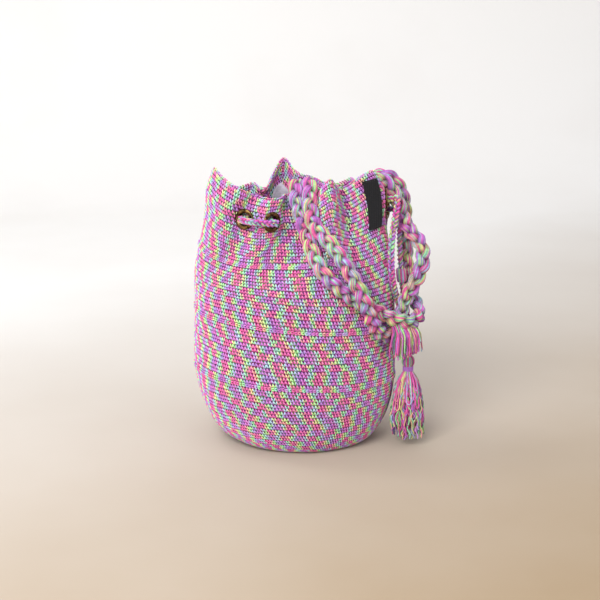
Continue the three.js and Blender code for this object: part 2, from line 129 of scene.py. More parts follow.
def smoothPiece(name, points, faces, finish):
    piece = newPiece(name, points, [], faces)
    piece.data.polygons.foreach_set("use_smooth", np.ones(len(piece.data.polygons), bool))
    piece.data.materials.append(finish)
    return piece


def gridFaces(rowCount, columnCount):
    return [(row * columnCount + column, row * columnCount + column + 1,
             (row + 1) * columnCount + column + 1, (row + 1) * columnCount + column)
            for row in range(rowCount - 1) for column in range(columnCount - 1)]


def settlePiece(piece, tree, settings):
    modifier = piece.modifiers.new("make", "NODES")
    modifier.node_group = tree
    for item in tree.interface.items_tree:
        if item.item_type == "SOCKET" and item.in_out == "INPUT" and item.name in settings:
            modifier[item.identifier] = settings[item.name]
    graph = bpy.context.evaluated_depsgraph_get()
    mesh = bpy.data.meshes.new_from_object(piece.evaluated_get(graph), depsgraph=graph)
    piece.modifiers.clear()
    mesh.name = piece.name
    piece.data = mesh
    return piece


def fitPiece(piece, slot, *nodes):
    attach(piece, "root")
    if nodes:
        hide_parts(*nodes)
    return piece


def newFinish(name, constants):
    finish = bpy.data.materials.new(name)
    finish.use_nodes = True
    shader = finish.node_tree.nodes["Principled BSDF"]
    for entry, value in constants.items():
        shader.inputs[entry].default_value = value
    return finish, finish.node_tree, shader


def setRamp(node, stops):
    ramp = node.color_ramp
    ramp.elements.remove(ramp.elements[1])
    for number, (place, colour) in enumerate(stops):
        stop = ramp.elements[0] if number == 0 else ramp.elements.new(place)
        stop.position = place
        stop.color = (float(colour[0]), float(colour[1]), float(colour[2]), 1.0)


def addNoise(tree, place, scale, detail):
    noise = addNode(tree, "ShaderNodeTexNoise", {"Scale": scale, "Detail": detail})
    wire(tree, place, "Object", noise, "Vector")
    return noise


def addBump(tree, giver, shader, strength, depth):
    bump = addNode(tree, "ShaderNodeBump", {"Strength": strength, "Distance": depth})
    wire(tree, giver, 0, bump, "Height")
    wire(tree, bump, "Normal", shader, "Normal")


def splineSpot(before, here, after, later, part):
    return 0.5 * (2 * here + (after - before) * part
                  + (2 * before - 5 * here + 4 * after - later) * part ** 2
                  + (3 * here - before - 3 * after + later) * part ** 3)


def newTree(name, entries):
    tree = bpy.data.node_groups.new(name, "GeometryNodeTree")
    tree.interface.new_socket("Geometry", in_out="INPUT", socket_type="NodeSocketGeometry")
    for entry, kind in entries:
        tree.interface.new_socket(entry, in_out="INPUT", socket_type=kind)
    tree.interface.new_socket("Geometry", in_out="OUTPUT", socket_type="NodeSocketGeometry")
    return tree, addNode(tree, "NodeGroupInput")


def endTree(tree, given, giver, output):
    smooth = addNode(tree, "GeometryNodeSetShadeSmooth")
    real = addNode(tree, "GeometryNodeRealizeInstances")
    finish = addNode(tree, "GeometryNodeSetMaterial")
    done = addNode(tree, "NodeGroupOutput")
    wire(tree, giver, output, smooth, "Geometry")
    wire(tree, smooth, "Geometry", real, "Geometry")
    wire(tree, real, "Geometry", finish, "Geometry")
    wire(tree, given, "Finish", finish, "Material")
    wire(tree, finish, "Geometry", done, "Geometry")
    return tree


# Finishes

yarnDye = {
    "stops": [  # one repeat of the dyed yarn
        (0.00, (233, 84, 164)),  # hot pink
        (0.21, (230, 88, 176)),
        (0.25, (244, 172, 150)),  # peach
        (0.28, (234, 230, 152)),  # yellow
        (0.35, (178, 239, 138)),  # lime
        (0.42, (152, 232, 192)),  # mint
        (0.47, (178, 190, 232)),  # pale blue
        (0.52, (176, 118, 216)),  # purple
        (0.62, (202, 106, 208)),  # orchid
        (0.75, (222, 98, 196)),  # magenta
        (0.80, (188, 176, 228)),  # lavender
        (0.85, (164, 222, 228)),  # aqua
        (0.91, (154, 238, 162)),  # mint green
        (0.95, (212, 232, 156)),
        (0.98, (236, 126, 158)),  # coral
    ],
    "surface": {
        "Roughness": 0.92, "Sheen Weight": 0.06, "Sheen Roughness": 0.5, "Specular IOR Level": 0.12,
    },
    "pale": (0.80, 0.74, 0.82),  # pale tint that the dyes are mixed towards
    "bump": 0.35,
    "bumpDepth": 0.0006,
    "fibre": 1400.0,  # fibre grain per metre
    "unevenScale": 260.0,
    "uneven": (0.86, 1.14),  # darkest and lightest patches
}


def yarnFinish(name, shade=1.0, paler=0.0):
    finish, tree, cloth = newFinish(name, yarnDye["surface"])
    phase = addNode(tree, "ShaderNodeAttribute", attribute_name="yarnPhase")
    # painted shade: this attribute darkens yarns that lie deep inside a plait, the tassel or the fringe,
    # and some yarns are darker at random
    gloom = addNode(tree, "ShaderNodeAttribute", attribute_name="yarnGloom")
    lit = addNode(tree, "ShaderNodeMath", {0: 1.0}, operation="SUBTRACT")
    seen = addNode(tree, "ShaderNodeMath", operation="MULTIPLY")
    wrap = addNode(tree, "ShaderNodeMath", operation="FRACT")
    dye = addNode(tree, "ShaderNodeValToRGB")
    stops = []
    for spot, colour in yarnDye["stops"]:
        tint = np.array(linearColour(*colour)[:3]) * shade
        stops.append((spot, tint + (np.array(yarnDye["pale"]) - tint) * paler))
    setRamp(dye, stops)
    place = addNode(tree, "ShaderNodeTexCoord")
    fibre = addNoise(tree, place, yarnDye["fibre"], 3.0)
    uneven = addNoise(tree, place, yarnDye["unevenScale"], 2.0)
    darkest, lightest = yarnDye["uneven"]
    level = addNode(tree, "ShaderNodeMapRange",
                    {"From Min": 0.3, "From Max": 0.7, "To Min": darkest, "To Max": lightest})
    toned = addNode(tree, "ShaderNodeMix", {"Factor": 1.0}, data_type="RGBA", blend_type="MULTIPLY")
    wire(tree, phase, "Fac", wrap, 0)
    wire(tree, wrap, 0, dye, "Fac")
    wire(tree, uneven, 0, level, "Value")
    wire(tree, gloom, "Fac", lit, 1)
    wire(tree, level, "Result", seen, 0)
    wire(tree, lit, 0, seen, 1)
    wire(tree, dye, "Color", toned, 6)  # the two colours of the mix
    wire(tree, seen, 0, toned, 7)
    wire(tree, toned, 2, cloth, "Base Color")
    addBump(tree, fibre, cloth, yarnDye["bump"], yarnDye["bumpDepth"])
    return finish


crochetYarn = yarnFinish("crochet_yarn", paler=0.13)
# painted shade: a darkened copy of the dyed yarn for the ground seen through the holes between stitches
shadedYarn = yarnFinish("shaded_yarn", shade=0.19)
strapYarn = yarnFinish("strap_yarn", shade=0.90, paler=0.08)
cordYarn = yarnFinish("cord_yarn", shade=0.92, paler=0.04)
fringeYarn = yarnFinish("fringe_yarn", shade=0.84, paler=0.06)
print("yarn finishes made")


# Yarns swept along their own lines

def makeSweepTree():
    tree, given = newTree("yarn_sweep", [
        ("Yarn radius", "NodeSocketFloat"),
        ("Sides", "NodeSocketInt"),
        ("Finish", "NodeSocketMaterial"),
    ])
    line = addNode(tree, "GeometryNodeMeshToCurve")
    ring = addNode(tree, "GeometryNodeCurvePrimitiveCircle")
    girth = addNode(tree, "GeometryNodeInputNamedAttribute", {"Name": "yarnGirth"}, data_type="FLOAT")
    tube = addNode(tree, "GeometryNodeCurveToMesh", {"Fill Caps": True})
    wire(tree, given, "Geometry", line, "Mesh")
    wire(tree, given, "Sides", ring, "Resolution")
    wire(tree, given, "Yarn radius", ring, "Radius")
    wire(tree, line, "Curve", tube, "Curve")
    wire(tree, ring, "Curve", tube, "Profile Curve")
    wire(tree, girth, "Attribute", tube, "Scale")
    return endTree(tree, given, tube, "Mesh")


sweepTree = makeSweepTree()
yarnValues = ("yarnPhase", "yarnGirth", "yarnGloom")


def oneYarn(line, phase, girth=1.0, gloom=0.0):
    yarn = {"line": np.asarray(line)}
    for value, amount in zip(yarnValues, (phase, girth, gloom)):
        yarn[value] = np.broadcast_to(amount, len(line))
    return yarn


def sweepYarns(name, yarns, radius, sides, finish):
    edges = []
    start = 0
    for yarn in yarns:
        count = len(yarn["line"])
        edges += [(start + step, start + step + 1) for step in range(count - 1)]
        start += count
    piece = newPiece(name, np.concatenate([yarn["line"] for yarn in yarns]), edges, [])
    for value in yarnValues:
        storeFloats(piece, value, np.concatenate([yarn[value] for yarn in yarns]))
    return settlePiece(piece, sweepTree, {"Yarn radius": radius, "Sides": sides, "Finish": finish})


def alongLine(marks, reach, line):
    return np.stack([np.interp(marks, reach, line[:, axis]) for axis in range(3)], -1)


def arcLengths(path):
    return np.concatenate([[0.0], np.cumsum(np.linalg.norm(np.diff(path, axis=0), axis=1))])


def smoothRoute(points, step):
    knots = np.array(points, float)
    knots = np.vstack([2 * knots[0] - knots[1], knots, 2 * knots[-1] - knots[-2]])
    parts = np.linspace(0.0, 1.0, 24, endpoint=False)[:, None]
    rows = []
    for number in range(1, len(knots) - 2):
        rows.append(splineSpot(*knots[number - 1:number + 3], parts))
    line = np.vstack(rows + [knots[-2:-1]])
    reach = arcLengths(line)
    count = max(2, int(round(reach[-1] / step)) + 1)
    return alongLine(np.linspace(0.0, reach[-1], count), reach, line)


def turningFrames(path, firstSide, settle=0.0):
    ahead = unit(np.gradient(path, axis=0))
    side = np.empty_like(path)
    carried = np.array(firstSide, float)
    for number, heading in enumerate(ahead):
        level = np.cross(heading, (0.0, -1.0, 0.0))  # the flat side then faces the front
        carried = carried + settle * level * (1.0 if level @ carried > 0.0 else -1.0)
        carried = carried - heading * (carried @ heading)
        carried = carried / np.linalg.norm(carried)
        side[number] = carried
    return side, np.cross(ahead, side)


def offLine(middle, side, deep, wide, thick):
    return middle + side * np.asarray(wide)[:, None] + deep * np.asarray(thick)[:, None]


def plaitYarns(path, style, firstSide, seed):
    luck = np.random.default_rng(seed)
    side, deep = turningFrames(path, firstSide, style["settle"])
    along = arcLengths(path)
    wide, thick = style["ring"]
    inner, outer = style["paintedShadeSpan"]
    yarns = []
    for strand in range(3):
        swing = 2 * math.pi * (along / style["period"] + strand / 3)
        middle = offLine(path, side, deep, style["sway"] * np.sin(swing),
                         style["depth"] * np.sin(2 * swing))
        dyeStart = luck.uniform()
        for yarn in range(style["yarns"]):
            lay = 2 * math.pi * (yarn / style["yarns"] + along * style["twist"] + 0.07 * strand)
            line = offLine(middle, side, deep, wide * np.cos(lay), thick * np.sin(lay))
            phase = dyeStart + luck.normal(0.0, style["dyeSpread"]) + along / style["dyeLength"]
            # painted shade: yarns nearer the plait's middle are darkened, and some are also darker at
            # random
            far = np.linalg.norm(line - path, axis=1)
            sunk = 1.0 - np.clip((far - inner) / (outer - inner), 0.0, 1.0)
            gloom = 1.0 - (1.0 - style["gloom"] * sunk) * (1.0 - style["mottle"] * luck.uniform() ** 2)
            yarns.append(oneYarn(line, phase, luck.uniform(*style["girths"]), gloom))
        # the strand's middle is darkened with the full painted shade
        if style["core"] > 0.0:
            phase = dyeStart + along / style["dyeLength"]
            yarns.append(oneYarn(middle, phase, style["core"], style["gloom"]))
    return yarns


def makePlait(name, node, path, style, finish, seed, firstSide=(1.0, 0.0, 0.0)):
    yarns = plaitYarns(path, style, firstSide, seed)
    plait = sweepYarns(name, yarns, style["yarnRadius"], style["sides"], finish)
    return fitPiece(plait, "braid_yarn", node)


# Braided straps

strapBraid = {
    "diameter": 0.013,
    "period": 0.039,  # one full plait
    "sway": 0.0035,
    "depth": 0.0026,
    "settle": 0.10,  # how fast the flat side turns to the front
    "ring": (0.0038, 0.0029),  # yarns stand round each strand
    "yarns": 28,
    "yarnRadius": 0.00052,
    "girths": (0.9, 1.08),  # thinnest and thickest yarn
    "core": 5.0,  # middle of a strand, in yarn radii
    "gloom": 0.90,  # painted shade: yarns darken from the outer to the inner distance
    "paintedShadeSpan": (0.0026, 0.0051),
    "mottle": 0.40,  # some yarns are darker than others
    "twist": 12.0,  # turns of a strand's yarns per metre
    "dyeLength": 0.11,
    "dyeSpread": 0.13,
    "sides": 5,
    "step": 0.0024,
    "wrapRoute": [
        (0.0005, -0.0246, 0.22), (0.001, -0.0206, 0.231), (0.0012, -0.0166, 0.241),
        (0.0013, -0.013, 0.2505), (0.0013, -0.0158, 0.2575), (0.0012, -0.0228, 0.2604),
        (0.001, -0.0298, 0.2575), (0.0012, -0.033, 0.2505), (0.0036, -0.0377, 0.2395),
        (0.007, -0.0424, 0.2287), (0.0108, -0.0494, 0.218), (0.0146, -0.0602, 0.2084),
        (0.0188, -0.069, 0.198), (0.0264, -0.0762, 0.1856), (0.0378, -0.0772, 0.1736),
        (0.0514, -0.0736, 0.1624), (0.0648, -0.0688, 0.1526), (0.078, -0.063, 0.145),
        (0.09, -0.06, 0.138), (0.101, -0.056, 0.1336), (0.1115, -0.05, 0.1312), (0.119, -0.041, 0.132),
        (0.122, -0.0305, 0.135), (0.1205, -0.02, 0.1395), (0.117, -0.0105, 0.147),
        (0.113, -0.005, 0.158), (0.1108, -0.001, 0.174), (0.11, 0.003, 0.191), (0.1096, 0.007, 0.208),
        (0.109, 0.011, 0.226), (0.107, 0.014, 0.241), (0.1026, 0.0154, 0.252), (0.095, 0.015, 0.2605),
        (0.086, 0.013, 0.2634), (0.078, 0.01, 0.26), (0.072, 0.007, 0.251), (0.0695, 0.005, 0.24),
    ],
    "loopRoute": [
        (0.016, -0.027, 0.221), (0.0156, -0.0226, 0.232), (0.0153, -0.018, 0.242),
        (0.015, -0.0134, 0.252), (0.015, -0.0166, 0.2592), (0.0148, -0.024, 0.2622),
        (0.0146, -0.0314, 0.2596), (0.0144, -0.0368, 0.252), (0.0152, -0.048, 0.2385),
        (0.018, -0.0552, 0.2276), (0.0252, -0.064, 0.2194), (0.0344, -0.07, 0.21),
        (0.0434, -0.0748, 0.1984), (0.0518, -0.079, 0.1856), (0.0596, -0.0824, 0.1722),
        (0.0662, -0.083, 0.158), (0.072, -0.0774, 0.141), (0.0788, -0.0674, 0.127),
        (0.087, -0.0576, 0.1196), (0.0954, -0.0474, 0.1168), (0.1014, -0.038, 0.1208),
        (0.104, -0.0322, 0.131), (0.1058, -0.0316, 0.142), (0.109, -0.035, 0.153),
        (0.114, -0.0396, 0.164), (0.1194, -0.0418, 0.176), (0.123, -0.04, 0.189),
        (0.122, -0.0346, 0.201), (0.117, -0.0274, 0.2094), (0.1106, -0.0206, 0.216),
        (0.106, -0.015, 0.224), (0.103, -0.0112, 0.233), (0.0986, -0.0082, 0.2444),
        (0.0914, -0.007, 0.256), (0.0834, -0.0066, 0.2626), (0.0754, -0.0078, 0.261),
        (0.0694, -0.0096, 0.2526), (0.0676, -0.011, 0.241),
    ],
}

straps = {}
for part, seed in (("wrap", 11), ("loop", 29)):
    path = smoothRoute(strapBraid[part + "Route"], strapBraid["step"])
    strap = makePlait(f"{part}_braid", f"strap_{part}", path, strapBraid, strapYarn, seed)
    straps[part] = (strap, path)
print("straps braided")


# The bag's cloth as a surface: turn runs round the bag, level from the base up to the rim

bagCloth = {
    "base": (0.122, 0.112),
    "baseShift": 0.0085,  # to the right of the belly's middle
    "belly": (0.202, 0.168),
    "shoulder": (0.201, 0.156),
    "cornerRise": 0.080,
    "shoulderRise": 0.150,
    "rimRise": 0.250,
    "wall": 0.0032,
    "lean": 0.008,
    "leanRise": 0.120,
    "twist": 0.03,
    "lip": 0.021,  # cloth above the eyelets
    "lineFlare": (1.08, 1.10),
    "line": (0.180, 0.104),
    "foldShare": 0.72,
    "unevenness": 0.0006,
    "rim": [
        (-0.009, 0.044, 0.0255), (-0.016, 0.042, 0.024), (-0.023, 0.036, 0.013),
        (-0.031, 0.029, -0.002), (-0.043, 0.036, 0.002), (-0.061, 0.024, 0), (-0.076, 0.013, 0.012),
        (-0.08, -0.006, 0.023), (-0.067, -0.03, 0.014), (-0.05, -0.042, 0.006), (-0.038, -0.033, 0),
        (-0.024, -0.047, -0.001), (-0.012, -0.044, -0.001), (-0.006, -0.026, 0),
        (0.019, -0.026, 0.002), (0.026, -0.045, 0.012), (0.035, -0.049, 0.018), (0.045, -0.022, 0.006),
        (0.058, -0.046, 0.017), (0.078, -0.032, 0.024), (0.08, -0.008, 0.003), (0.086, 0.012, 0.004),
        (0.068, 0.02, 0), (0.058, 0.04, 0.006), (0.038, 0.028, 0.002), (0.02, 0.045, 0.006),
        (0.004, 0.036, 0.012),
    ],
}
eyeletSet = {
    "pairTurns": (0.0895, 0.3585, 0.726, 0.86),
    "pairSpacing": 0.055,
    "flange": 0.010,
    "pressMargin": 0.001,
    "pressFade": 0.009,
    "hole": 0.0074,  # cloth cut away behind the ring
    "stitchGap": 0.0008,  # stitches stay this far off the hole
}


def rimLine():
    knots = np.array(bagCloth["rim"])
    count = len(knots)
    spot = np.linspace(0.0, count, 5200, endpoint=False)
    at = spot.astype(int)
    part = (spot - at)[:, None]
    line = splineSpot(*(knots[(at + shift) % count] for shift in (-1, 0, 1, 2)), part)
    line[:, 2] += bagCloth["rimRise"]
    line = np.vstack([line, line[:1]])
    reach = arcLengths(line)
    return line, reach / reach[-1], reach[-1]


rimPoints, rimShares, rimLength = rimLine()


def rimPoint(turn):
    return alongLine(np.mod(turn, 1.0), rimShares, rimPoints)


def ovalPoint(turn, width, depth):
    angle = math.pi / 2 + 2 * math.pi * (turn + bagCloth["twist"])
    return width / 2 * np.cos(angle), depth / 2 * np.sin(angle)


def eyeletLine(turn):
    rim = rimPoint(turn)
    openX, openY = ovalPoint(turn, *bagCloth["line"])
    share = bagCloth["foldShare"]
    lineX = blendOf(openX, rim[..., 0] * bagCloth["lineFlare"][0], share)
    lineY = blendOf(openY, rim[..., 1] * bagCloth["lineFlare"][1], share)
    return np.stack([lineX, lineY, rim[..., 2] - bagCloth["lip"]], -1)


def lowCloth(turn, level):
    corner = np.clip(level, 0.0, 1.0) * math.pi / 2
    narrowing = easeIn(level - 1.0)
    sizes = []
    for axis in range(2):
        bellied = blendOf(bagCloth["base"][axis], bagCloth["belly"][axis], np.sin(corner))
        sizes.append(blendOf(bellied, bagCloth["shoulder"][axis], narrowing) * np.minimum(1.0, 1.0 + level))
    x, y = ovalPoint(turn, *sizes)
    x = x + bagCloth["baseShift"] * (1.0 - np.sin(corner))
    rise = bagCloth["cornerRise"] * (1.0 - np.cos(corner))
    rise = rise + (bagCloth["shoulderRise"] - bagCloth["cornerRise"]) * np.clip(level - 1.0, 0.0, 1.0)
    lean = bagCloth["lean"] * ovalPoint(turn, 2.0, 2.0)[0] * easeIn(rise / bagCloth["leanRise"])
    return np.stack([x, y, rise - lean], -1)


def loosePoint(turn, level):
    turn, level = np.broadcast_arrays(np.asarray(turn, float), np.asarray(level, float))
    low = lowCloth(turn, level)
    shoulder = lowCloth(turn, np.full_like(level, 2.0))
    line = eyeletLine(turn)
    gathered = easeIn(level - 2.0)[..., None]
    climb = np.clip(level - 2.0, 0.0, 1.0)[..., None]
    drawn = blendOf(shoulder, line, gathered)
    drawn[..., 2:] = blendOf(shoulder, line, climb)[..., 2:]
    lip = line + (rimPoint(turn) - line) * (level - 3.0)[..., None]
    height = level[..., None]
    return np.where(height <= 2.0, low, np.where(height <= 3.0, drawn, lip))


def outward(surface, turn, level):
    across = surface(turn + 0.003, level) - surface(turn - 0.003, level)
    upward = surface(turn, level + 0.02) - surface(turn, level - 0.02)
    return unit(np.cross(across, upward))


eyeletTurns = [middle + half * eyeletSet["pairSpacing"] / 2
               for middle in eyeletSet["pairTurns"] for half in (-1, 1)]
eyelets = [(loosePoint(turn, 3.0), outward(loosePoint, turn, 3.0)) for turn in eyeletTurns]


def clothPoint(turn, level):
    point = loosePoint(turn, level)
    for middle, out in eyelets:
        reach = point - middle
        span = np.linalg.norm(reach, axis=-1) - eyeletSet["flange"] - eyeletSet["pressMargin"]
        hold = (reach @ out) * (1.0 - easeIn(span / eyeletSet["pressFade"]))
        point = point - hold[..., None] * out
    return point


# Drawstring through the eyelets, and its two tails

drawCord = {
    "diameter": 0.0055,
    "period": 0.0125,
    "sway": 0.0019,
    "depth": 0.0012,
    "ring": (0.0010, 0.0008),
    "yarns": 5,
    "yarnRadius": 0.00072,
    "girths": (0.9, 1.08),
    "core": 0.0,
    "settle": 0.0,
    # painted shade: yarns darken from the outer to the inner distance
    "gloom": 0.70,
    "paintedShadeSpan": (0.0008, 0.0020),
    "mottle": 0.25,
    "twist": 60.0,
    "dyeLength": 0.12,
    "dyeSpread": 0.20,
    "sides": 5,
    "step": 0.0014,
    "inside": 0.0074,  # how far it stands in and out of an eyelet
    "outside": 0.009,
    "tailGap": 0.0003,  # between the drawstring's end and a tail
    "frontRun": [
        (0.066, -0.022, 0.241), (0.05, -0.017, 0.238), (0.032, -0.0115, 0.236),
        (0.015, -0.0085, 0.234), (0.001, -0.007, 0.233), (-0.012, -0.015, 0.232),
    ],
    "frontPair": [(-0.038, -0.058, 0.2295)],
    "leftRun": [(-0.048, -0.017, 0.232), (-0.053, 0.004, 0.232)],
    "backLeftPair": [(-0.05, 0.049, 0.23)],
    "backRun": [(-0.014, 0.025, 0.234), (0.004, 0.024, 0.236), (0.022, 0.024, 0.234)],
    "backRightPair": [(0.06, 0.053, 0.2325)],
    "rightRun": [(0.063, 0.023, 0.231), (0.073, 0.012, 0.2315)],
    "frontTail": [
        (0.0986, -0.026, 0.24), (0.0966, -0.031, 0.23), (0.0938, -0.036, 0.214),
        (0.0928, -0.038, 0.195), (0.0936, -0.037, 0.176), (0.0964, -0.0316, 0.16),
        (0.1004, -0.024, 0.147), (0.1044, -0.0218, 0.135), (0.1074, -0.024, 0.12),
        (0.1086, -0.0268, 0.107), (0.1088, -0.028, 0.099), (0.1088, -0.028, 0.0921),
    ],
    "rearTail": [
        (0.1026, 0.002, 0.228), (0.1026, -0.0046, 0.218), (0.1024, -0.012, 0.206),
        (0.1028, -0.0168, 0.19), (0.104, -0.0186, 0.174), (0.1056, -0.018, 0.158),
        (0.1076, -0.0164, 0.147), (0.1098, -0.017, 0.135), (0.113, -0.02, 0.12),
        (0.1149, -0.0256, 0.107), (0.1152, -0.028, 0.099), (0.1152, -0.028, 0.0921),
    ],
}


def threaded(number):
    middle, out = eyelets[number]
    stops = (-drawCord["inside"], -bagCloth["wall"] / 2, drawCord["outside"])
    return [tuple(middle + out * stop) for stop in stops]


def unthreaded(number):
    return threaded(number)[::-1]


def drawstringRoute():
    route = unthreaded(4) + drawCord["frontRun"] + threaded(3) + drawCord["frontPair"] + unthreaded(2)
    route = route + drawCord["leftRun"] + threaded(1) + drawCord["backLeftPair"] + unthreaded(0)
    route = route + drawCord["backRun"] + threaded(7) + drawCord["backRightPair"] + unthreaded(6)
    return route + drawCord["rightRun"] + threaded(5)


def tailRoute(number, points):
    middle, out = eyelets[number]
    end = middle + out * drawCord["outside"]
    first = end + out * drawCord["tailGap"]
    bend = end + out * drawCord["diameter"] / 2
    return [tuple(first), tuple(bend)] + points


drawstringPath = smoothRoute(drawstringRoute(), drawCord["step"])
makePlait("drawstring_plait", "drawstring", drawstringPath, drawCord, cordYarn, 5, (0.0, 0.0, 1.0))
tails = {}
for part, number, seed in (("front", 4, 31), ("rear", 5, 32)):
    path = smoothRoute(tailRoute(number, drawCord[part + "Tail"]), drawCord["step"])
    tail = makePlait(f"{part}_tail_plait", f"drawstring_tail_{part}", path, drawCord, cordYarn, seed)
    tails[part] = (tail, path)
print("drawstring threaded, length", round(float(arcLengths(drawstringPath)[-1]), 3))


# Tassel, its binding, the tail's whipping and the strap's fringe

tasselYarns = {
    "seed": 41,
    "axis": (0.112, -0.028),
    "top": 0.0915,
    "bottom": 0.008,
    "headRadius": 0.0066,
    "headHeight": 0.0125,
    "neckRadius": 0.0040,
    "neckHeight": 0.0040,
    "skirtFalls": (0.0, 0.13, 0.42, 0.75, 1.0),  # shares of the fall and the radius there
    "skirtRadii": (0.0046, 0.0105, 0.0148, 0.0172, 0.0174),
    "headYarns": 36,
    "skirtYarns": 190,
    "yarnRadius": 0.00070,
    "yarnPoints": 30,
    "turnJitter": 0.02,
    "depths": (0.3, 1.0),  # squares of the share of the radius where a skirt yarn hangs
    "tuck": (0.0006, 0.003),  # yarns start below the head's top, and above the skirt's
    "ragged": 0.024,
    "raggedPower": 1.9,  # most yarns reach far down
    "waver": 0.0014,
    "inOut": 0.7,  # share of the waver that goes in and out
    "leastRadius": 0.004,
    "waves": (230.0, 560.0),  # of a yarn, per metre
    "swirl": 0.3,  # how far yarns lean round the skirt
    "looseFall": 0.3,  # below this share of the fall the yarns hang free
    "tip": (0.002, 0.8),  # length and girth of a cut end
    "loops": 7,
    "loopPoints": 34,
    "loopBend": 2.2,
    "loopFalls": (0.25, 0.72),
    "loopSpreads": (0.12, 0.2),
    "loopFan": 1.2,  # loops hang in front, out to both sides by this angle
    "loopLift": 0.0002,
    "loopDye": 0.1,
    "dyeLength": 0.60,
    "brightShare": 0.33,  # yellow, lime and aqua among the pink and purple
    "coolShare": 0.4,  # of both, turned to purple and aqua
    "brightDye": (0.24, 0.44),
    "deepDye": (0.00, 0.21),
    "gloom": (0.95, 0.65),  # painted shade inside the skirt, and darker yarns at random
    "bindingTurns": 4,
    "bindingDye": 0.56,
    "bindingRadius": 0.00062,
    "bindingOver": 0.0004,  # the coil starts this far above the neck
    "bindingLift": 0.0008,
}
neckTop = tasselYarns["top"] - tasselYarns["headHeight"]
skirtTop = neckTop - tasselYarns["neckHeight"]
skirtLength = skirtTop - tasselYarns["bottom"]


def tasselRadius(height):
    dome = np.clip((height - neckTop) / tasselYarns["headHeight"], 0.0, 1.0)
    upper = tasselYarns["headRadius"] * np.sqrt(np.clip(1.0 - (2.0 * dome - 0.9) ** 2 / 1.3, 0.05, 1.0))
    fall = np.clip((skirtTop - height) / skirtLength, 0.0, 1.0)
    skirt = np.interp(fall, tasselYarns["skirtFalls"], tasselYarns["skirtRadii"])
    return np.where(height > neckTop, upper, np.where(height > skirtTop, tasselYarns["neckRadius"], skirt))


def wavering(height, luck):
    first, second = luck.uniform(0.0, 2 * math.pi, 2)
    slow, quick = tasselYarns["waves"]
    return tasselYarns["waver"] * (np.sin(height * slow + first) + 0.5 * np.sin(height * quick + second))


def aroundTassel(radius, angle, height):
    return np.stack([tasselYarns["axis"][0] + radius * np.cos(angle),
                     tasselYarns["axis"][1] + radius * np.sin(angle), height], 1)


def tasselDye(luck):
    bright = luck.uniform() < tasselYarns["brightShare"]
    half = 0.5 * (luck.uniform() < tasselYarns["coolShare"])
    return half + luck.uniform(*tasselYarns["brightDye" if bright else "deepDye"])


def loopFall(part):
    return 1.0 - np.abs(2.0 * part - 1.0) ** tasselYarns["loopBend"]


def loopSide(part):
    return 2.0 * easeIn((part - 0.3) / 0.4) - 1.0


def tasselLines():
    luck = np.random.default_rng(tasselYarns["seed"])
    goldenTurn = 0.618034  # spreads the yarns evenly
    headTuck, skirtTuck = tasselYarns["tuck"]
    tipLength, tipGirth = tasselYarns["tip"]
    inside, uneven = tasselYarns["gloom"]
    yarns = []
    for number in range(tasselYarns["headYarns"] + tasselYarns["skirtYarns"]):
        onHead = number < tasselYarns["headYarns"]
        turn = 2 * math.pi * (number * goldenTurn + tasselYarns["turnJitter"] * luck.normal())
        depth = 1.0 if onHead else luck.uniform(*tasselYarns["depths"]) ** 0.5
        top = tasselYarns["top"] - headTuck if onHead else skirtTop + skirtTuck
        bottom = tasselYarns["bottom"]
        bottom = bottom + luck.uniform(0.0, 1.0) ** tasselYarns["raggedPower"] * tasselYarns["ragged"]
        height = np.linspace(top, bottom, tasselYarns["yarnPoints"])
        fall = np.clip((skirtTop - height) / skirtLength, 0.0, 1.0)
        loose = easeIn(fall / tasselYarns["looseFall"])
        radius = tasselRadius(height) * depth - tasselYarns["yarnRadius"]
        radius = radius + tasselYarns["inOut"] * loose * wavering(height, luck)
        angle = turn + fall * luck.normal(0.0, tasselYarns["swirl"])
        angle = angle + loose * wavering(height, luck) / np.maximum(radius, tasselYarns["leastRadius"])
        phase = tasselDye(luck) + (top - height) / tasselYarns["dyeLength"]
        ends = np.where(height < bottom + tipLength, tipGirth, 1.0)
        # painted shade on yarns deep inside the skirt, plus some yarns darker at random
        gloom = inside * (1.0 - depth) + uneven * luck.uniform() ** 2
        yarns.append(oneYarn(aroundTassel(radius, angle, height), phase, ends, gloom))
    for number in range(tasselYarns["loops"]):
        part = np.linspace(0.0, 1.0, tasselYarns["loopPoints"])
        drop = luck.uniform(*tasselYarns["loopFalls"]) * skirtLength
        height = skirtTop - drop * loopFall(part)
        spread = luck.uniform(*tasselYarns["loopSpreads"])
        angle = -math.pi / 2 + luck.uniform(-tasselYarns["loopFan"], tasselYarns["loopFan"])
        angle = angle + spread * loopSide(part)
        phase = tasselDye(luck) + part * tasselYarns["loopDye"]
        radius = tasselRadius(height) + tasselYarns["loopLift"]
        yarns.append(oneYarn(aroundTassel(radius, angle, height), phase))
    return yarns


def bindingLine(perTurn=20):
    turns = tasselYarns["bindingTurns"]
    spin = np.linspace(0.0, 2 * math.pi * turns, turns * perTurn + 1)
    rise = np.linspace(skirtTop, neckTop + tasselYarns["bindingOver"], len(spin))
    return aroundTassel(tasselYarns["neckRadius"] + tasselYarns["bindingLift"], spin, rise)


tassel = sweepYarns("tassel_yarns", tasselLines(), tasselYarns["yarnRadius"], 5, fringeYarn)
fitPiece(tassel, "fringe_yarn", "tassel")
binding = sweepYarns("tassel_neck_coil", [oneYarn(bindingLine(), tasselYarns["bindingDye"])],
                     tasselYarns["bindingRadius"], 6, strapYarn)
fitPiece(binding, "binding_yarn", "tassel_binding")

tailWhipping = {
    "from": 0.42,  # share of the rear tail
    "length": 0.013,
    "radius": 0.0042,
    "pinch": 0.0007,  # narrower at both ends
    "yarns": 15,
    "yarnRadius": 0.0009,
    "dyes": (0.79, 0.95, 0.05, 0.80, 0.14, 0.36, 0.48, 0.02, 0.84, 0.55),
}


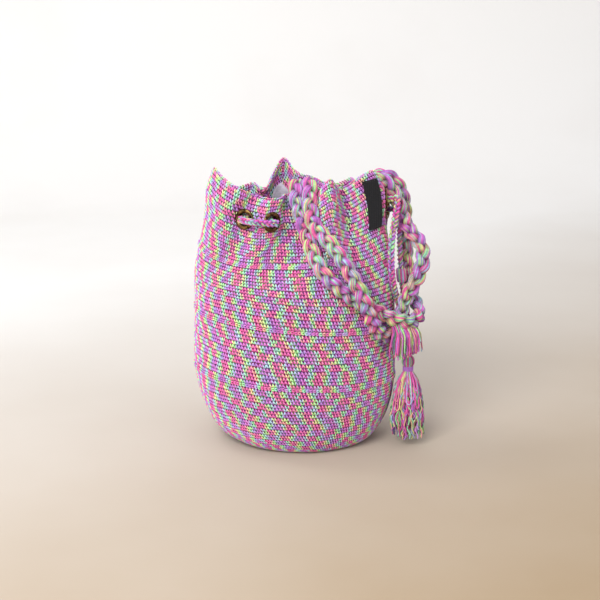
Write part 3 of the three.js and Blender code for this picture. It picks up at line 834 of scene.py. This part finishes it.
def whippingLines():
    path = tails["rear"][1]
    along = arcLengths(path)
    start = tailWhipping["from"] * along[-1]
    marks = np.linspace(start, start + tailWhipping["length"], 9)
    middle = alongLine(marks, along, path)
    side, deep = turningFrames(middle, (1.0, 0.0, 0.0))
    dyes = tailWhipping["dyes"]
    yarns = []
    for number in range(tailWhipping["yarns"]):
        angle = 2 * math.pi * number / tailWhipping["yarns"]
        share = 2 * (marks - start) / tailWhipping["length"] - 1
        swell = tailWhipping["radius"] - tailWhipping["pinch"] * share ** 4
        line = offLine(middle, side, deep, swell * math.cos(angle), swell * math.sin(angle))
        yarns.append(oneYarn(line, dyes[number % len(dyes)] + np.linspace(0, 0.04, len(marks))))
    return yarns


whipping = sweepYarns("whipping_yarns", whippingLines(), tailWhipping["yarnRadius"], 5, strapYarn)
fitPiece(whipping, "binding_yarn", "tail_whipping")

strapFringe = {
    "seed": 53,
    "from": (0.096, -0.066),
    "to": (0.1205, -0.0435),
    "bottom": 0.098,
    "under": 0.0040,  # yarns leave the strap this far under its middle
    "thickness": 0.010,
    "flare": 1.25,
    "bunches": [(-0.55, 0.26), (0.62, 0.20), (-0.25, 0.30)],  # middle and spread along the strap
    "placeLimit": 0.97,  # shares of half the length and half the thickness
    "deepLimit": 0.85,
    "yarns": 90,
    "yarnPoints": 18,
    "yarnRadius": 0.00068,
    "ragged": 0.013,
    "raggedPower": 1.6,
    "waver": 0.0014,
    "waves": (6.0, 12.0),
    "lean": 0.0016,
    "dyeRun": 0.08,
    "loops": 7,
    "loopPoints": 30,
    "loopRagged": 0.006,
    "loopSpreads": (0.0018, 0.0032),
    "loopPlaces": (-0.9, 0.7),
    "loopDepths": (0.6, 0.95),
    "freed": 0.4,  # share of the fall where a yarn has left the strap
    "strapUnder": 0.15,  # only the strap's low stretch carries yarns
    # painted shade on yarns towards the fringe's back
    "gloom": 0.8,
}


def fringeLines():
    luck = np.random.default_rng(strapFringe["seed"])
    start = np.array(strapFringe["from"])
    finish = np.array(strapFringe["to"])
    along = (finish - start) / np.linalg.norm(finish - start)
    across = np.array([along[1], -along[0]])
    middle = (start + finish) / 2
    half = np.linalg.norm(finish - start) / 2
    strap = straps["wrap"][1]
    strap = strap[strap[:, 2] < strapFringe["strapUnder"]]

    def hangingLine(placed, deep, fall, drop, wave):
        flare = blendOf(1.0, strapFringe["flare"], easeIn(fall))
        plan = middle + along * (placed * half * flare + wave)[:, None]
        plan = plan + across * (deep * strapFringe["thickness"] / 2 * flare - 0.6 * wave)[:, None]
        root = strap[np.argmin(np.linalg.norm(strap[:, :2] - plan[0], axis=1))]
        top = root[2] - strapFringe["under"]
        freed = easeIn(fall / strapFringe["freed"])[:, None]
        return np.column_stack([blendOf(root[:2], plan, freed), top - (top - drop) * fall])

    yarns = []
    for number in range(strapFringe["yarns"]):
        bunch = strapFringe["bunches"][number % len(strapFringe["bunches"])]
        placed = np.clip(luck.normal(*bunch), -strapFringe["placeLimit"], strapFringe["placeLimit"])
        deep = luck.uniform(-strapFringe["deepLimit"], strapFringe["deepLimit"])
        short = luck.uniform(0.0, 1.0) ** strapFringe["raggedPower"]
        drop = strapFringe["bottom"] + short * strapFringe["ragged"]
        fall = np.linspace(0.0, 1.0, strapFringe["yarnPoints"])
        swing = fall * luck.uniform(*strapFringe["waves"]) + luck.uniform(0, 6.3)
        wave = strapFringe["waver"] * np.sin(swing)
        wave = fall * (wave + luck.normal(0.0, strapFringe["lean"]))
        # painted shade: yarns further back are darker, scaled at random
        gloom = strapFringe["gloom"] * np.clip(0.5 - deep, 0.0, 1.0) * luck.uniform()
        line = hangingLine(placed, deep, fall, drop, wave)
        yarns.append(oneYarn(line, tasselDye(luck) + fall * strapFringe["dyeRun"], 1.0, gloom))
    for number in range(strapFringe["loops"]):
        part = np.linspace(0.0, 1.0, strapFringe["loopPoints"])
        drop = strapFringe["bottom"] + luck.uniform(0.0, strapFringe["loopRagged"])
        wave = luck.uniform(*strapFringe["loopSpreads"]) * loopSide(part)
        placed = luck.uniform(*strapFringe["loopPlaces"])
        deep = luck.uniform(*strapFringe["loopDepths"])
        line = hangingLine(placed, deep, loopFall(part), drop, wave)
        yarns.append(oneYarn(line, luck.uniform() + part * tasselYarns["loopDye"]))
    return yarns


fringe = sweepYarns("fringe_yarns", fringeLines(), strapFringe["yarnRadius"], 5, fringeYarn)
fitPiece(fringe, "fringe_yarn", "strap_fringe")
print("tassel and fringe tied")


# The cloth field that carries the crochet

clothGrid = {
    "columns": 260,
    "levels": (  # from, to and rows between
        (-1.0, 0.0, 16), (0.0, 1.0, 34), (1.0, 2.0, 18), (2.0, 3.0, 40), (3.0, 4.0, 14), (4.0, 4.14, 2),
    ),
    "middle": -0.985,  # the lowest row runs round the base's middle
}


def levelRows(spans):
    spread = [np.linspace(low, high, count, endpoint=False) for low, high, count in spans]
    return np.concatenate(spread + [[spans[-1][1]]])


def clothFacing(turn, level):
    facing = outward(clothPoint, turn, level)
    facing[level < 0.0] = (0.0, 0.0, -1.0)
    return facing


def clothField():
    turns = np.linspace(0.0, 1.0, clothGrid["columns"] + 1)
    levels = levelRows(clothGrid["levels"])
    levels[0] = clothGrid["middle"]
    turn, level = np.meshgrid(turns, levels)
    points = clothPoint(turn, level)
    normals = clothFacing(turn, level)
    wave = np.sin(2 * math.pi * (3 * turn) + 2.1 * level)
    wave = wave * np.sin(1.7 + 4.3 * level + 2 * math.pi * 5 * turn)
    wave = wave + 0.7 * np.sin(2 * math.pi * (9 * turn) - 5.2 * level)
    wave = bagCloth["unevenness"] * wave
    wave = wave * easeIn(level / 0.6) * easeIn((3.4 - level) / 0.8)  # the base and the rim stay even
    points = points + normals * wave[..., None]
    climbs = np.linalg.norm(np.diff(points, axis=0), axis=-1).mean(1)
    reach = np.concatenate([[0.0], np.cumsum(climbs)])
    return turns, levels, points, normals, reach


clothTurns, clothLevels, clothPoints, clothNormals, clothReach = clothField()
clothTop = float(clothReach[-1])
baseReach = float(np.interp(0.0, clothLevels, clothReach))
rimReach = float(np.interp(4.0, clothLevels, clothReach))
rows, columns = clothPoints.shape[:2]
clothGuide = newPiece("cloth_guide", clothPoints.reshape(-1, 3), [], gridFaces(rows, columns))
storeVectors(clothGuide, "clothNormal", clothNormals.reshape(-1, 3))
guideTurn, guideReach = np.meshgrid(clothTurns, clothReach / clothTop)
storeUv(clothGuide, np.stack([guideTurn.ravel(), guideReach.ravel()], 1))
print("cloth shaped, rim to base edge", round(rimReach - baseReach, 4), "base", round(baseReach, 4))


# Crochet stitches laid on the cloth

def makeStitchTree():
    tree, given = newTree("crochet_stitches", [
        ("Cloth", "NodeSocketObject"),
        ("Stitch", "NodeSocketObject"),
        ("Finish", "NodeSocketMaterial"),
    ])
    cloth = addNode(tree, "GeometryNodeObjectInfo")
    stitch = addNode(tree, "GeometryNodeObjectInfo")
    size, chart, facing = [
        addNode(tree, "GeometryNodeInputNamedAttribute", {"Name": name}, data_type="FLOAT_VECTOR")
        for name in ("stitchSize", "UVMap", "clothNormal")]
    laid = addNode(tree, "GeometryNodeInstanceOnPoints")
    real = addNode(tree, "GeometryNodeRealizeInstances")
    place = addNode(tree, "GeometryNodeInputPosition")
    parts = addNode(tree, "ShaderNodeSeparateXYZ")
    wrap = addNode(tree, "ShaderNodeMath", operation="FRACT")
    clamp = addNode(tree, "ShaderNodeClamp", {"Min": 0.0005, "Max": 0.9995})
    spot = addNode(tree, "ShaderNodeCombineXYZ")
    surface = addNode(tree, "GeometryNodeSampleUVSurface", data_type="FLOAT_VECTOR")
    normal = addNode(tree, "GeometryNodeSampleUVSurface", data_type="FLOAT_VECTOR")
    lift = addNode(tree, "ShaderNodeVectorMath", operation="SCALE")
    moved = addNode(tree, "ShaderNodeVectorMath", operation="ADD")
    shaped = addNode(tree, "GeometryNodeSetPosition")
    wire(tree, given, "Cloth", cloth, "Object")
    wire(tree, given, "Stitch", stitch, "Object")
    wire(tree, given, "Geometry", laid, "Points")
    wire(tree, stitch, "Geometry", laid, "Instance")
    wire(tree, size, "Attribute", laid, "Scale")
    wire(tree, laid, "Instances", real, "Geometry")
    wire(tree, place, "Position", parts, "Vector")
    wire(tree, parts, "X", wrap, 0)
    wire(tree, parts, "Y", clamp, "Value")
    wire(tree, wrap, 0, spot, "X")
    wire(tree, clamp, 0, spot, "Y")
    for sampler, field in ((surface, place), (normal, facing)):
        wire(tree, cloth, "Geometry", sampler, "Mesh")
        wire(tree, field, 0, sampler, "Value")
        wire(tree, chart, "Attribute", sampler, "UV Map")
        wire(tree, spot, "Vector", sampler, "Sample UV")
    wire(tree, normal, "Value", lift, 0)
    wire(tree, parts, "Z", lift, "Scale")
    wire(tree, surface, "Value", moved, 0)
    wire(tree, lift, "Vector", moved, 1)
    wire(tree, real, "Geometry", shaped, "Geometry")
    wire(tree, moved, "Vector", shaped, "Position")
    return endTree(tree, given, shaped, "Geometry")


stitchTree = makeStitchTree()

crochetStitch = {
    "around": 189,
    "pitch": 0.0035,  # height of a round
    "drift": 0.395,  # each round starts this share of a stitch further left
    "thickness": 0.0033,
    "leg": ((0.05, -0.62, -0.45), (0.25, -0.28, -0.24), (0.42, 0.16, -0.21), (0.47, 0.60, -0.45)),
    "legRadius": 0.215,
    "sides": 5,
    "swell": (0.92, 1.08),  # thinnest and thickest stitch
    "jitter": 0.05,
    "innerDepth": 0.97,
    "chain": (0.95, 0.85, 0.12),  # length, width and lift of a stitch laid on its side
    "ridges": (24, 40, 58),
    "ridgeLift": 0.0008,
    "rimLift": -0.0013,
    "rimOver": 0.1,  # share of a round above the rim
    "insideRounds": 12,  # below the rim
    "pairGap": 0.015,  # rounds stand closer two by two
}
dyeRhythm = {
    "seed": 17,
    "repeat": 9.5,  # stitches in one repeat of the dye
    "hold": 2,  # rounds before the colours jump
    "jump": (0.08, 0.50),
    "wander": 0.15,  # uneven lengths of colour along a round
    "knots": 16,
    "speckle": 0.03,
    "rounds": 400,
}


def legShape(line):
    line = np.array(line)
    sides = crochetStitch["sides"]
    points = [line[0]]
    for number in (1, 2):
        ahead = unit(line[number + 1] - line[number - 1])
        first = unit(np.cross(ahead, (0.0, 0.0, 1.0)))
        second = np.cross(ahead, first)
        for side in range(sides):
            angle = 2 * math.pi * side / sides
            away = math.cos(angle) * first + math.sin(angle) * second
            points.append(line[number] + crochetStitch["legRadius"] * away)
    points.append(line[3])
    faces = []
    top = 2 * sides + 1
    for side in range(sides):
        after = (side + 1) % sides
        faces.append((0, 1 + after, 1 + side))
        faces.append((1 + side, 1 + after, 1 + sides + after, 1 + sides + side))
        faces.append((top, 1 + sides + side, 1 + sides + after))
    return points, faces


def stitchShape(name, change):
    points = []
    faces = []
    for mirror in (-1.0, 1.0):
        line = [change(mirror * x - crochetStitch["drift"] * y, y, z) for x, y, z in crochetStitch["leg"]]
        legPoints, legFaces = legShape(line)
        faces += [tuple(len(points) + corner for corner in face) for face in legFaces]
        points += legPoints
    return newPiece(name, points, [], faces)


def outerSpot(x, y, z):
    return x, y, z


def innerSpot(x, y, z):
    return -x, y, -crochetStitch["innerDepth"] - z


def chainSpot(x, y, z):
    length, width, lift = crochetStitch["chain"]
    return length * y, -width * (x + crochetStitch["drift"] * y), z + lift


outerStitch = stitchShape("outer_stitch", outerSpot)
innerStitch = stitchShape("inner_stitch", innerSpot)
chainStitch = stitchShape("chain_stitch", chainSpot)


def dyeTable():
    luck = np.random.default_rng(dyeRhythm["seed"])
    count = dyeRhythm["rounds"] // dyeRhythm["hold"]
    shifts = np.cumsum(luck.uniform(*dyeRhythm["jump"], count))
    wander = luck.uniform(-1.0, 1.0, (count, dyeRhythm["knots"])) * dyeRhythm["wander"]
    return shifts, np.column_stack([wander, wander[:, :1]])


dyeShifts, dyeWander = dyeTable()


def dyePhase(number, turn, luck):
    group = (number + dyeRhythm["rounds"] // 2) // dyeRhythm["hold"]
    spot = turn * dyeRhythm["knots"]
    knot = np.minimum(spot.astype(int), dyeRhythm["knots"] - 1)
    drift = blendOf(dyeWander[group][knot], dyeWander[group][knot + 1], easeIn(spot - knot))
    phase = turn * len(turn) / dyeRhythm["repeat"] + dyeShifts[group] + drift
    return phase + luck.normal(0.0, dyeRhythm["speckle"], len(turn))


def roundPoints(rounds, luck):
    spots = []
    sizes = []
    phases = []
    for number, reach, around, high in rounds:
        even = (np.arange(around) - crochetStitch["drift"] * number) / around
        turn = even + luck.normal(0.0, crochetStitch["jitter"], around) / around
        lift = luck.normal(0.0, crochetStitch["jitter"], around) * high / clothTop
        spots.append(np.stack([np.mod(turn, 1.0), reach / clothTop + lift, np.zeros(around)], 1))
        swell = luck.uniform(*crochetStitch["swell"], around)
        height = np.full(around, high / clothTop)
        sizes.append(np.stack([swell / around, height, swell * crochetStitch["thickness"]], 1))
        phases.append(dyePhase(number, np.mod(even, 1.0), luck))
    return np.concatenate(spots), np.concatenate(sizes), np.concatenate(phases)


def layStitches(name, rounds, stitch, seed, lift=0.0):
    luck = np.random.default_rng(seed)
    spots, sizes, phases = roundPoints(rounds, luck)
    spots[:, 2] += lift
    cloth = clothPoint(spots[:, 0], np.interp(spots[:, 1] * clothTop, clothReach, clothLevels))
    keep = np.ones(len(spots), bool)
    for middle, out in eyelets:
        keep &= np.linalg.norm(cloth - middle, axis=1) > eyeletSet["hole"] + eyeletSet["stitchGap"]
    piece = newPiece(name, spots[keep], [], [])
    storeVectors(piece, "stitchSize", sizes[keep])
    storeFloats(piece, "yarnPhase", phases[keep])
    settlePiece(piece, stitchTree, {"Cloth": clothGuide, "Stitch": stitch, "Finish": crochetYarn})
    fitPiece(piece, "crochet_yarn")


wallRounds = int(round((rimReach - baseReach) / crochetStitch["pitch"]))
wallPitch = (rimReach - baseReach) / wallRounds


def wallRow(number, nearer=0.0):
    return number, baseReach + (number + 0.5 + nearer) * wallPitch, crochetStitch["around"], wallPitch


def baseRow(number):
    reach = baseReach - (number - 0.5) * wallPitch
    around = max(8, int(round(crochetStitch["around"] * reach / baseReach)))
    return -number, reach, around, wallPitch


wallRows = [wallRow(number, crochetStitch["pairGap"] * (1 if number % 2 == 0 else -1))
            for number in range(wallRounds)]
quarter = -(-wallRounds // 4)
for part in range(4):
    share = wallRows[part * quarter:(part + 1) * quarter]
    layStitches(f"crochet_wall_{part + 1}", share, outerStitch, seed=60 + part)
ridgeRows = [row for row in wallRows if row[0] in crochetStitch["ridges"]]
layStitches("crochet_ridges", ridgeRows, chainStitch, seed=71, lift=crochetStitch["ridgeLift"])
baseRows = [baseRow(number) for number in range(1, int(baseReach / wallPitch) + 1)]
layStitches("crochet_base", baseRows, outerStitch, seed=72)
insideRows = [wallRow(number) for number in range(wallRounds - crochetStitch["insideRounds"], wallRounds)]
layStitches("crochet_inside", insideRows, innerStitch, seed=73)
rimRow = (wallRounds, rimReach + crochetStitch["rimOver"] * wallPitch, crochetStitch["around"], wallPitch)
layStitches("crochet_rim", [rimRow], chainStitch, seed=74, lift=crochetStitch["rimLift"])
print("crochet worked,", wallRounds, "rounds")


# Ground of the crochet, darkened with painted shade where it shows between stitches, closed round the rim
# and the eyelets

groundCloth = {
    "outside": 0.00135,  # depth under the stitches' tops
    "inside": 0.00190,
}


def openCells():
    centres = 0.25 * (clothPoints[:-1, :-1] + clothPoints[1:, :-1]
                      + clothPoints[:-1, 1:] + clothPoints[1:, 1:])
    cut = np.zeros(centres.shape[:2], bool)
    for middle, out in eyelets:
        cut |= np.linalg.norm(centres - middle, axis=-1) < eyeletSet["hole"]
    return cut


def closedShell(outer, inner, cut):
    count, around = outer.shape[:2]
    layer = count * around
    points = np.concatenate([outer.reshape(-1, 3), inner.reshape(-1, 3),
                             outer[:1].mean(1), inner[:1].mean(1)])
    faces = []

    def corner(row, column):
        return row * around + column % around

    for row in range(count - 1):
        for column in range(around):
            quad = (corner(row, column), corner(row, column + 1),
                    corner(row + 1, column + 1), corner(row + 1, column))
            if not cut[row, column]:
                faces.append(quad)
                faces.append(tuple(layer + spot for spot in reversed(quad)))
                continue
            beside = ((row - 1, column), (row, (column + 1) % around),
                      (row + 1, column), (row, (column - 1) % around))
            for number, cell in enumerate(beside):
                if not cut[cell]:  # a wall between the two skins
                    first, second = quad[number], quad[(number + 1) % 4]
                    faces.append((layer + second, layer + first, first, second))
    for column in range(around):
        first, second = corner(count - 1, column), corner(count - 1, column + 1)
        faces.append((first, second, layer + second, layer + first))
        first, second = corner(0, column), corner(0, column + 1)
        faces.append((second, first, 2 * layer))
        faces.append((layer + first, layer + second, 2 * layer + 1))
    used = np.unique(np.concatenate([np.array(face) for face in faces]))
    renumber = np.full(len(points), -1)
    renumber[used] = np.arange(len(used))
    faces = [tuple(int(renumber[spot]) for spot in face) for face in faces]
    return points[used], faces, used


def makeGround():
    last = int(np.searchsorted(clothLevels, 4.0)) + 1
    around = columns - 1
    outer, inner = [(clothPoints - clothNormals * groundCloth[face])[:last, :around]
                    for face in ("outside", "inside")]
    points, faces, used = closedShell(outer, inner, openCells())
    ground = smoothPiece("crochet_ground", points, faces, shadedYarn)
    phase = np.arange(around) / around * crochetStitch["around"] / dyeRhythm["repeat"]
    phase = np.concatenate([np.tile(phase, 2 * last), [0.0, 0.0]])
    storeFloats(ground, "yarnPhase", phase[used])
    fitPiece(ground, "crochet_yarn", "bag_body")


makeGround()
print("ground cloth closed")


# Lining

innerLining = {
    "gap": 0.0037,  # below the crochet's outer face
    "thickness": 0.0008,
    "drop": 0.0129,  # hem below the eyelets
    "hemSpan": 0.079,  # cloth between the shoulder and the eyelets
    "tallTurn": 0.993,  # the hem stands higher in the tall fold at the back
    "tallHalf": 0.033,
    "tallFade": 0.012,
    "tallHem": 0.010,
    "wrinkle": 0.0004,
    "colour": (196, 190, 205),
    "weave": 2600.0,
    "sheen": 0.2,
}


def clothFinish(name, colour, weave, sheen):
    surface = {"Roughness": 0.85, "Sheen Weight": sheen, "Specular IOR Level": 0.25}
    finish, tree, cloth = newFinish(name, surface)
    place = addNode(tree, "ShaderNodeTexCoord")
    waves = {"Scale": weave / 20, "Distortion": 0.6, "Detail": 1.0}  # weave in radians per metre
    warp = addNode(tree, "ShaderNodeTexWave", waves)
    weft = addNode(tree, "ShaderNodeTexWave", waves, bands_direction="Z")
    crossed = addNode(tree, "ShaderNodeMath", operation="ADD")
    slub = addNoise(tree, place, 180.0, 4.0)
    tone = addNode(tree, "ShaderNodeValToRGB")
    light = np.array(linearColour(*colour)[:3])
    setRamp(tone, ((0.3, light * 0.72), (0.7, light * 1.08)))
    for number, thread in enumerate((warp, weft)):
        wire(tree, place, "Object", thread, "Vector")
        wire(tree, thread, "Fac", crossed, number)
    addBump(tree, crossed, cloth, 0.3, 0.0004)
    wire(tree, slub, 0, tone, "Fac")
    wire(tree, tone, "Color", cloth, "Base Color")
    return finish


def makeLining():
    hem = 3.0 - innerLining["drop"] / innerLining["hemSpan"]
    levels = levelRows(((-0.98, 0.0, 8), (0.0, 1.0, 20), (1.0, 2.0, 14), (2.0, hem, 25)))
    turn, level = np.meshgrid(np.linspace(0.0, 1.0, columns - 1, endpoint=False), levels)
    away = np.abs(np.mod(turn - innerLining["tallTurn"] + 0.5, 1.0) - 0.5)
    fade = easeIn((away - innerLining["tallHalf"]) / innerLining["tallFade"])
    rise = innerLining["tallHem"] * (1.0 - fade)
    level = level + rise / innerLining["hemSpan"] * np.clip((level - 2.0) / (hem - 2.0), 0.0, 1.0)
    normals = clothFacing(turn, level)
    fold = np.sin(2 * math.pi * 17 * turn + 3 * level) * np.sin(2 * math.pi * 7 * turn - 4 * level)
    inset = innerLining["gap"] + innerLining["wrinkle"] * (1 + fold) / 2
    outer = clothPoint(turn, level) - normals * inset[..., None]
    inner = outer - normals * innerLining["thickness"]
    points, faces, used = closedShell(outer, inner, np.zeros(turn.shape, bool))
    cotton = clothFinish("lining_cloth", innerLining["colour"], innerLining["weave"], innerLining["sheen"])
    return fitPiece(smoothPiece("lining_cloth", points, faces, cotton), "lining_cloth", "lining")


lining = makeLining()
print("lining sewn in")


# Brass eyelets

brassRing = {
    "segments": 44,
    "ring": (  # radius and height of the section, from the cloth's face
        (0.0060, -0.0046), (0.0064, -0.0053), (0.0072, -0.0054), (0.0078, -0.0051), (0.0077, -0.0047),
        (0.0069, -0.0046), (0.0069, 0.0003), (0.0095, 0.0003), (0.0100, 0.0007), (0.0099, 0.0012),
        (0.0093, 0.0017), (0.0084, 0.0019), (0.0074, 0.0019), (0.0066, 0.0016), (0.0061, 0.0010),
    ),
    "washer": (
        (0.0071, -0.0035), (0.0089, -0.0035), (0.0090, -0.0039), (0.0088, -0.0043), (0.0080, -0.0045),
        (0.0071, -0.0045),
    ),
    "tarnish": ((0.36, (0.022, 0.014, 0.008)), (0.66, (0.30, 0.185, 0.065))),  # dark to rubbed
    "polish": (0.28, 0.5),
}


def brassFinish():
    finish, tree, metal = newFinish("aged_brass", {"Metallic": 1.0})
    place = addNode(tree, "ShaderNodeTexCoord")
    tarnish = addNoise(tree, place, 320.0, 5.0)
    tone = addNode(tree, "ShaderNodeValToRGB")
    setRamp(tone, brassRing["tarnish"])
    smoothest, roughest = brassRing["polish"]
    polish = addNode(tree, "ShaderNodeMapRange", {"To Min": smoothest, "To Max": roughest})
    scratch = addNoise(tree, place, 1500.0, 2.0)
    wire(tree, tarnish, 0, tone, "Fac")
    wire(tree, tarnish, 0, polish, "Value")
    wire(tree, tone, "Color", metal, "Base Color")
    wire(tree, polish, "Result", metal, "Roughness")
    addBump(tree, scratch, metal, 0.12, 0.0002)
    return finish


agedBrass = brassFinish()


def makeEyelet(number):
    middle, out = eyelets[number]
    first = unit(np.cross(out, (0.0, 0.0, 1.0)))
    second = np.cross(out, first)
    points = []
    faces = []
    segments = brassRing["segments"]
    for section in (brassRing["ring"], brassRing["washer"]):
        start = len(points)
        size = len(section)
        for turn in range(segments):
            angle = 2 * math.pi * turn / segments
            reach = math.cos(angle) * first + math.sin(angle) * second
            points += [middle + reach * radius + out * height for radius, height in section]
            here = start + turn * size
            there = start + (turn + 1) % segments * size
            for spot in range(size):
                after = (spot + 1) % size
                faces.append((there + spot, there + after, here + after, here + spot))
    eyelet = smoothPiece(f"eyelet_{number + 1}", points, faces, agedBrass)
    fitPiece(eyelet, "aged_brass", f"grommet_{number + 1}", f"washer_{number + 1}")


for number in range(len(eyelets)):
    makeEyelet(number)
print("eyelets set")


# Label

labelTape = {
    "width": 0.0175,
    "length": 0.046,
    "thickness": 0.0008,
    "turn": 0.6515,
    "drop": 0.0045,
    "tilt": 0.004,
    "skew": -0.05,
    "standoff": 0.0013,
    "sink": 0.0006,  # how far the cloth may press into its back
    "across": 14,
    "down": 36,
    "colour": (21, 22, 27),
    "threadColour": (40, 40, 46),
    "weave": 3400.0,
    "sheen": 0.15,
    "hem": 0.03,  # stitching at both ends, share of the length
    "stitches": 7,
    "stitchArch": (0.0003, 0.0002),  # rise of a stitch, and how deep its ends lie
    "threadRadius": 0.00022,
}


def labelCloth(side, along):
    shift = side * labelTape["width"] + along * labelTape["length"] * labelTape["skew"]
    turn = labelTape["turn"] + shift / rimLength
    drop = labelTape["drop"] + along * labelTape["length"] + side * labelTape["tilt"]
    zone = loosePoint(turn, 3.0)[..., 2] - loosePoint(turn, 2.0)[..., 2]
    lip = bagCloth["lip"]
    level = np.where(drop < lip, 4.0 - drop / lip, 3.0 - (drop - lip) / zone)
    return clothPoint(turn, level), outward(clothPoint, turn, level)


def bendTerms(side, along):
    return np.stack([side ** bow * along ** dip for bow in range(2) for dip in range(3)], -1)


labelSides, labelAlongs = np.meshgrid(np.linspace(-0.5, 0.5, labelTape["across"] + 1),
                                      np.linspace(0.0, 1.0, labelTape["down"] + 1))
underLabel, underFacing = labelCloth(labelSides, labelAlongs)
labelTerms = bendTerms(labelSides, labelAlongs)
labelBend = np.linalg.lstsq(labelTerms.reshape(-1, 6), underLabel.reshape(-1, 3), rcond=None)[0]
sunk = -float(((labelTerms @ labelBend - underLabel) * underFacing).sum(-1).min())
labelLift = labelTape["standoff"] + max(0.0, sunk - labelTape["sink"])


def labelFace(side, along, lift):
    point = bendTerms(side, along) @ labelBend
    right = bendTerms(side + 0.01, along) @ labelBend - bendTerms(side - 0.01, along) @ labelBend
    down = bendTerms(side, along + 0.01) @ labelBend - bendTerms(side, along - 0.01) @ labelBend
    return point + unit(np.cross(down, right)) * np.asarray(lift)[..., None]


def makeLabel():
    back = labelFace(labelSides, labelAlongs, labelLift)
    front = labelFace(labelSides, labelAlongs, labelLift + labelTape["thickness"])
    height, width = labelSides.shape
    layer = height * width
    faces = []
    for quad in gridFaces(height, width):
        faces.append(quad)
        faces.append(tuple(layer + spot for spot in quad[::-1]))
    top = [(spot, spot + 1) for spot in range(width - 1)]
    low = [((height - 1) * width + spot + 1, (height - 1) * width + spot) for spot in range(width - 1)]
    left = [((row + 1) * width, row * width) for row in range(height - 1)]
    right = [(row * width + width - 1, (row + 1) * width + width - 1) for row in range(height - 1)]
    for first, second in top + low + left + right:
        faces.append((second, first, layer + first, layer + second))
    piece = newPiece("woven_label", np.concatenate([back.reshape(-1, 3), front.reshape(-1, 3)]), [], faces)
    tape = clothFinish("label_tape", labelTape["colour"], labelTape["weave"], labelTape["sheen"])
    piece.data.materials.append(tape)
    fitPiece(piece, "label_tape", "label")


def makeLabelStitches():
    arch = np.linspace(0.0, 1.0, 7)
    rise, sink = labelTape["stitchArch"]
    yarns = []
    for along in (labelTape["hem"], 1.0 - labelTape["hem"]):
        for number in range(labelTape["stitches"]):
            side = (number + 0.2 + 0.6 * arch) / labelTape["stitches"] - 0.5
            lift = labelLift + labelTape["thickness"] + rise * np.sin(math.pi * arch) - sink
            yarns.append(oneYarn(labelFace(side, np.full_like(side, along), lift), 0.0))
    thread = clothFinish("label_thread", labelTape["threadColour"], labelTape["weave"], labelTape["sheen"])
    fitPiece(sweepYarns("label_stitches", yarns, labelTape["threadRadius"], 6, thread), "label_tape")


makeLabel()
makeLabelStitches()
print("label sewn on, lift", round(labelLift, 4))


# Floor, backdrop and light

studio = {
    "floorFront": -2.2,
    "floorHalf": 3.0,
    "floorUnder": 0.0004,  # just below the bag's base
    "bend": 1.2,  # where the floor curves up into the backdrop
    "bendRadius": 0.6,
    "backdropTop": 3.0,
    "paper": ((241, 240, 238), (168, 147, 120)),  # painted light and shade, from the lit side to the shaded side
    "paintedLightSlope": (0.55, -0.75, 0.0),
    "paintedLightSpan": (-0.70, 0.38),
    "paperMottle": 0.12,
    "sky": (0.97, 0.97, 1.0),
    "skyStrength": 0.70,
    "lights": [  # place, aim, size, power, colour
        ("key_light", (-0.52, -1.27, 1.00), (0.0, 0.0, 0.13), 0.8, 23.0, (1.0, 0.985, 0.96)),
        ("fill_light", (1.00, -1.10, 0.70), (0.0, 0.0, 0.13), 1.1, 2.0, (0.96, 0.98, 1.0)),
        ("wash_light", (-0.90, 0.35, 1.70), (-0.25, 1.75, 0.55), 0.8, 10.0, (1.0, 0.99, 0.97)),
    ],
}


def paperFinish():
    finish, tree, surface = newFinish("studio_paper", {"Roughness": 0.9})
    lit, shaded = studio["paper"]
    first, last = studio["paintedLightSpan"]
    change = studio["paperMottle"]
    place = addNode(tree, "ShaderNodeTexCoord")
    # painted light and shade: the floor's colour runs along a slope from the lit tone to the shaded tone
    slope = addNode(tree, "ShaderNodeVectorMath", {1: studio["paintedLightSlope"]}, operation="DOT_PRODUCT")
    span = addNode(tree, "ShaderNodeMapRange", {"From Min": first, "From Max": last})
    grain = addNoise(tree, place, 3.0, 4.0)
    mottle = addNode(tree, "ShaderNodeMapRange", {"To Min": -change, "To Max": change})
    mixed = addNode(tree, "ShaderNodeMath", operation="ADD", use_clamp=True)
    tone = addNode(tree, "ShaderNodeValToRGB")
    setRamp(tone, ((0.0, linearColour(*lit)), (1.0, linearColour(*shaded))))
    wire(tree, place, "Object", slope, 0)
    wire(tree, slope, "Value", span, "Value")
    wire(tree, grain, 0, mottle, "Value")
    wire(tree, span, "Result", mixed, 0)
    wire(tree, mottle, "Result", mixed, 1)
    wire(tree, mixed, 0, tone, "Fac")
    wire(tree, tone, "Color", surface, "Base Color")
    return finish


def makeStage():
    bend = studio["bend"]
    radius = studio["bendRadius"]
    half = studio["floorHalf"]
    profile = [(studio["floorFront"], 0.0), (bend, 0.0)]
    profile += [(bend + radius * math.sin(angle), radius - radius * math.cos(angle))
                for angle in np.linspace(0.0, math.pi / 2, 14)[1:]]
    profile.append((bend + radius, studio["backdropTop"]))
    points = [(side, depth, height - studio["floorUnder"])
              for depth, height in profile for side in (-half, half)]
    faces = [(2 * row, 2 * row + 1, 2 * row + 3, 2 * row + 2) for row in range(len(profile) - 1)]
    smoothPiece("studio_floor", points, faces, paperFinish())


def makeLights():
    sky = bpy.data.worlds.new("studio_sky")
    sky.use_nodes = True
    glow = sky.node_tree.nodes["Background"]
    glow.inputs["Color"].default_value = (*studio["sky"], 1.0)
    glow.inputs["Strength"].default_value = studio["skyStrength"]
    scene.world = sky
    for name, place, aim, size, power, colour in studio["lights"]:
        data = bpy.data.lights.new(name, "AREA")
        data.size = size
        data.energy = power
        data.color = colour
        lamp = bpy.data.objects.new(name, data)
        lamp.location = place
        lamp.rotation_euler = (Vector(aim) - Vector(place)).to_track_quat("-Z", "Y").to_euler()
        scene.collection.objects.link(lamp)


makeStage()
makeLights()
for helper in (clothGuide, outerStitch, innerStitch, chainStitch):
    bpy.data.objects.remove(helper)
print("studio lit")
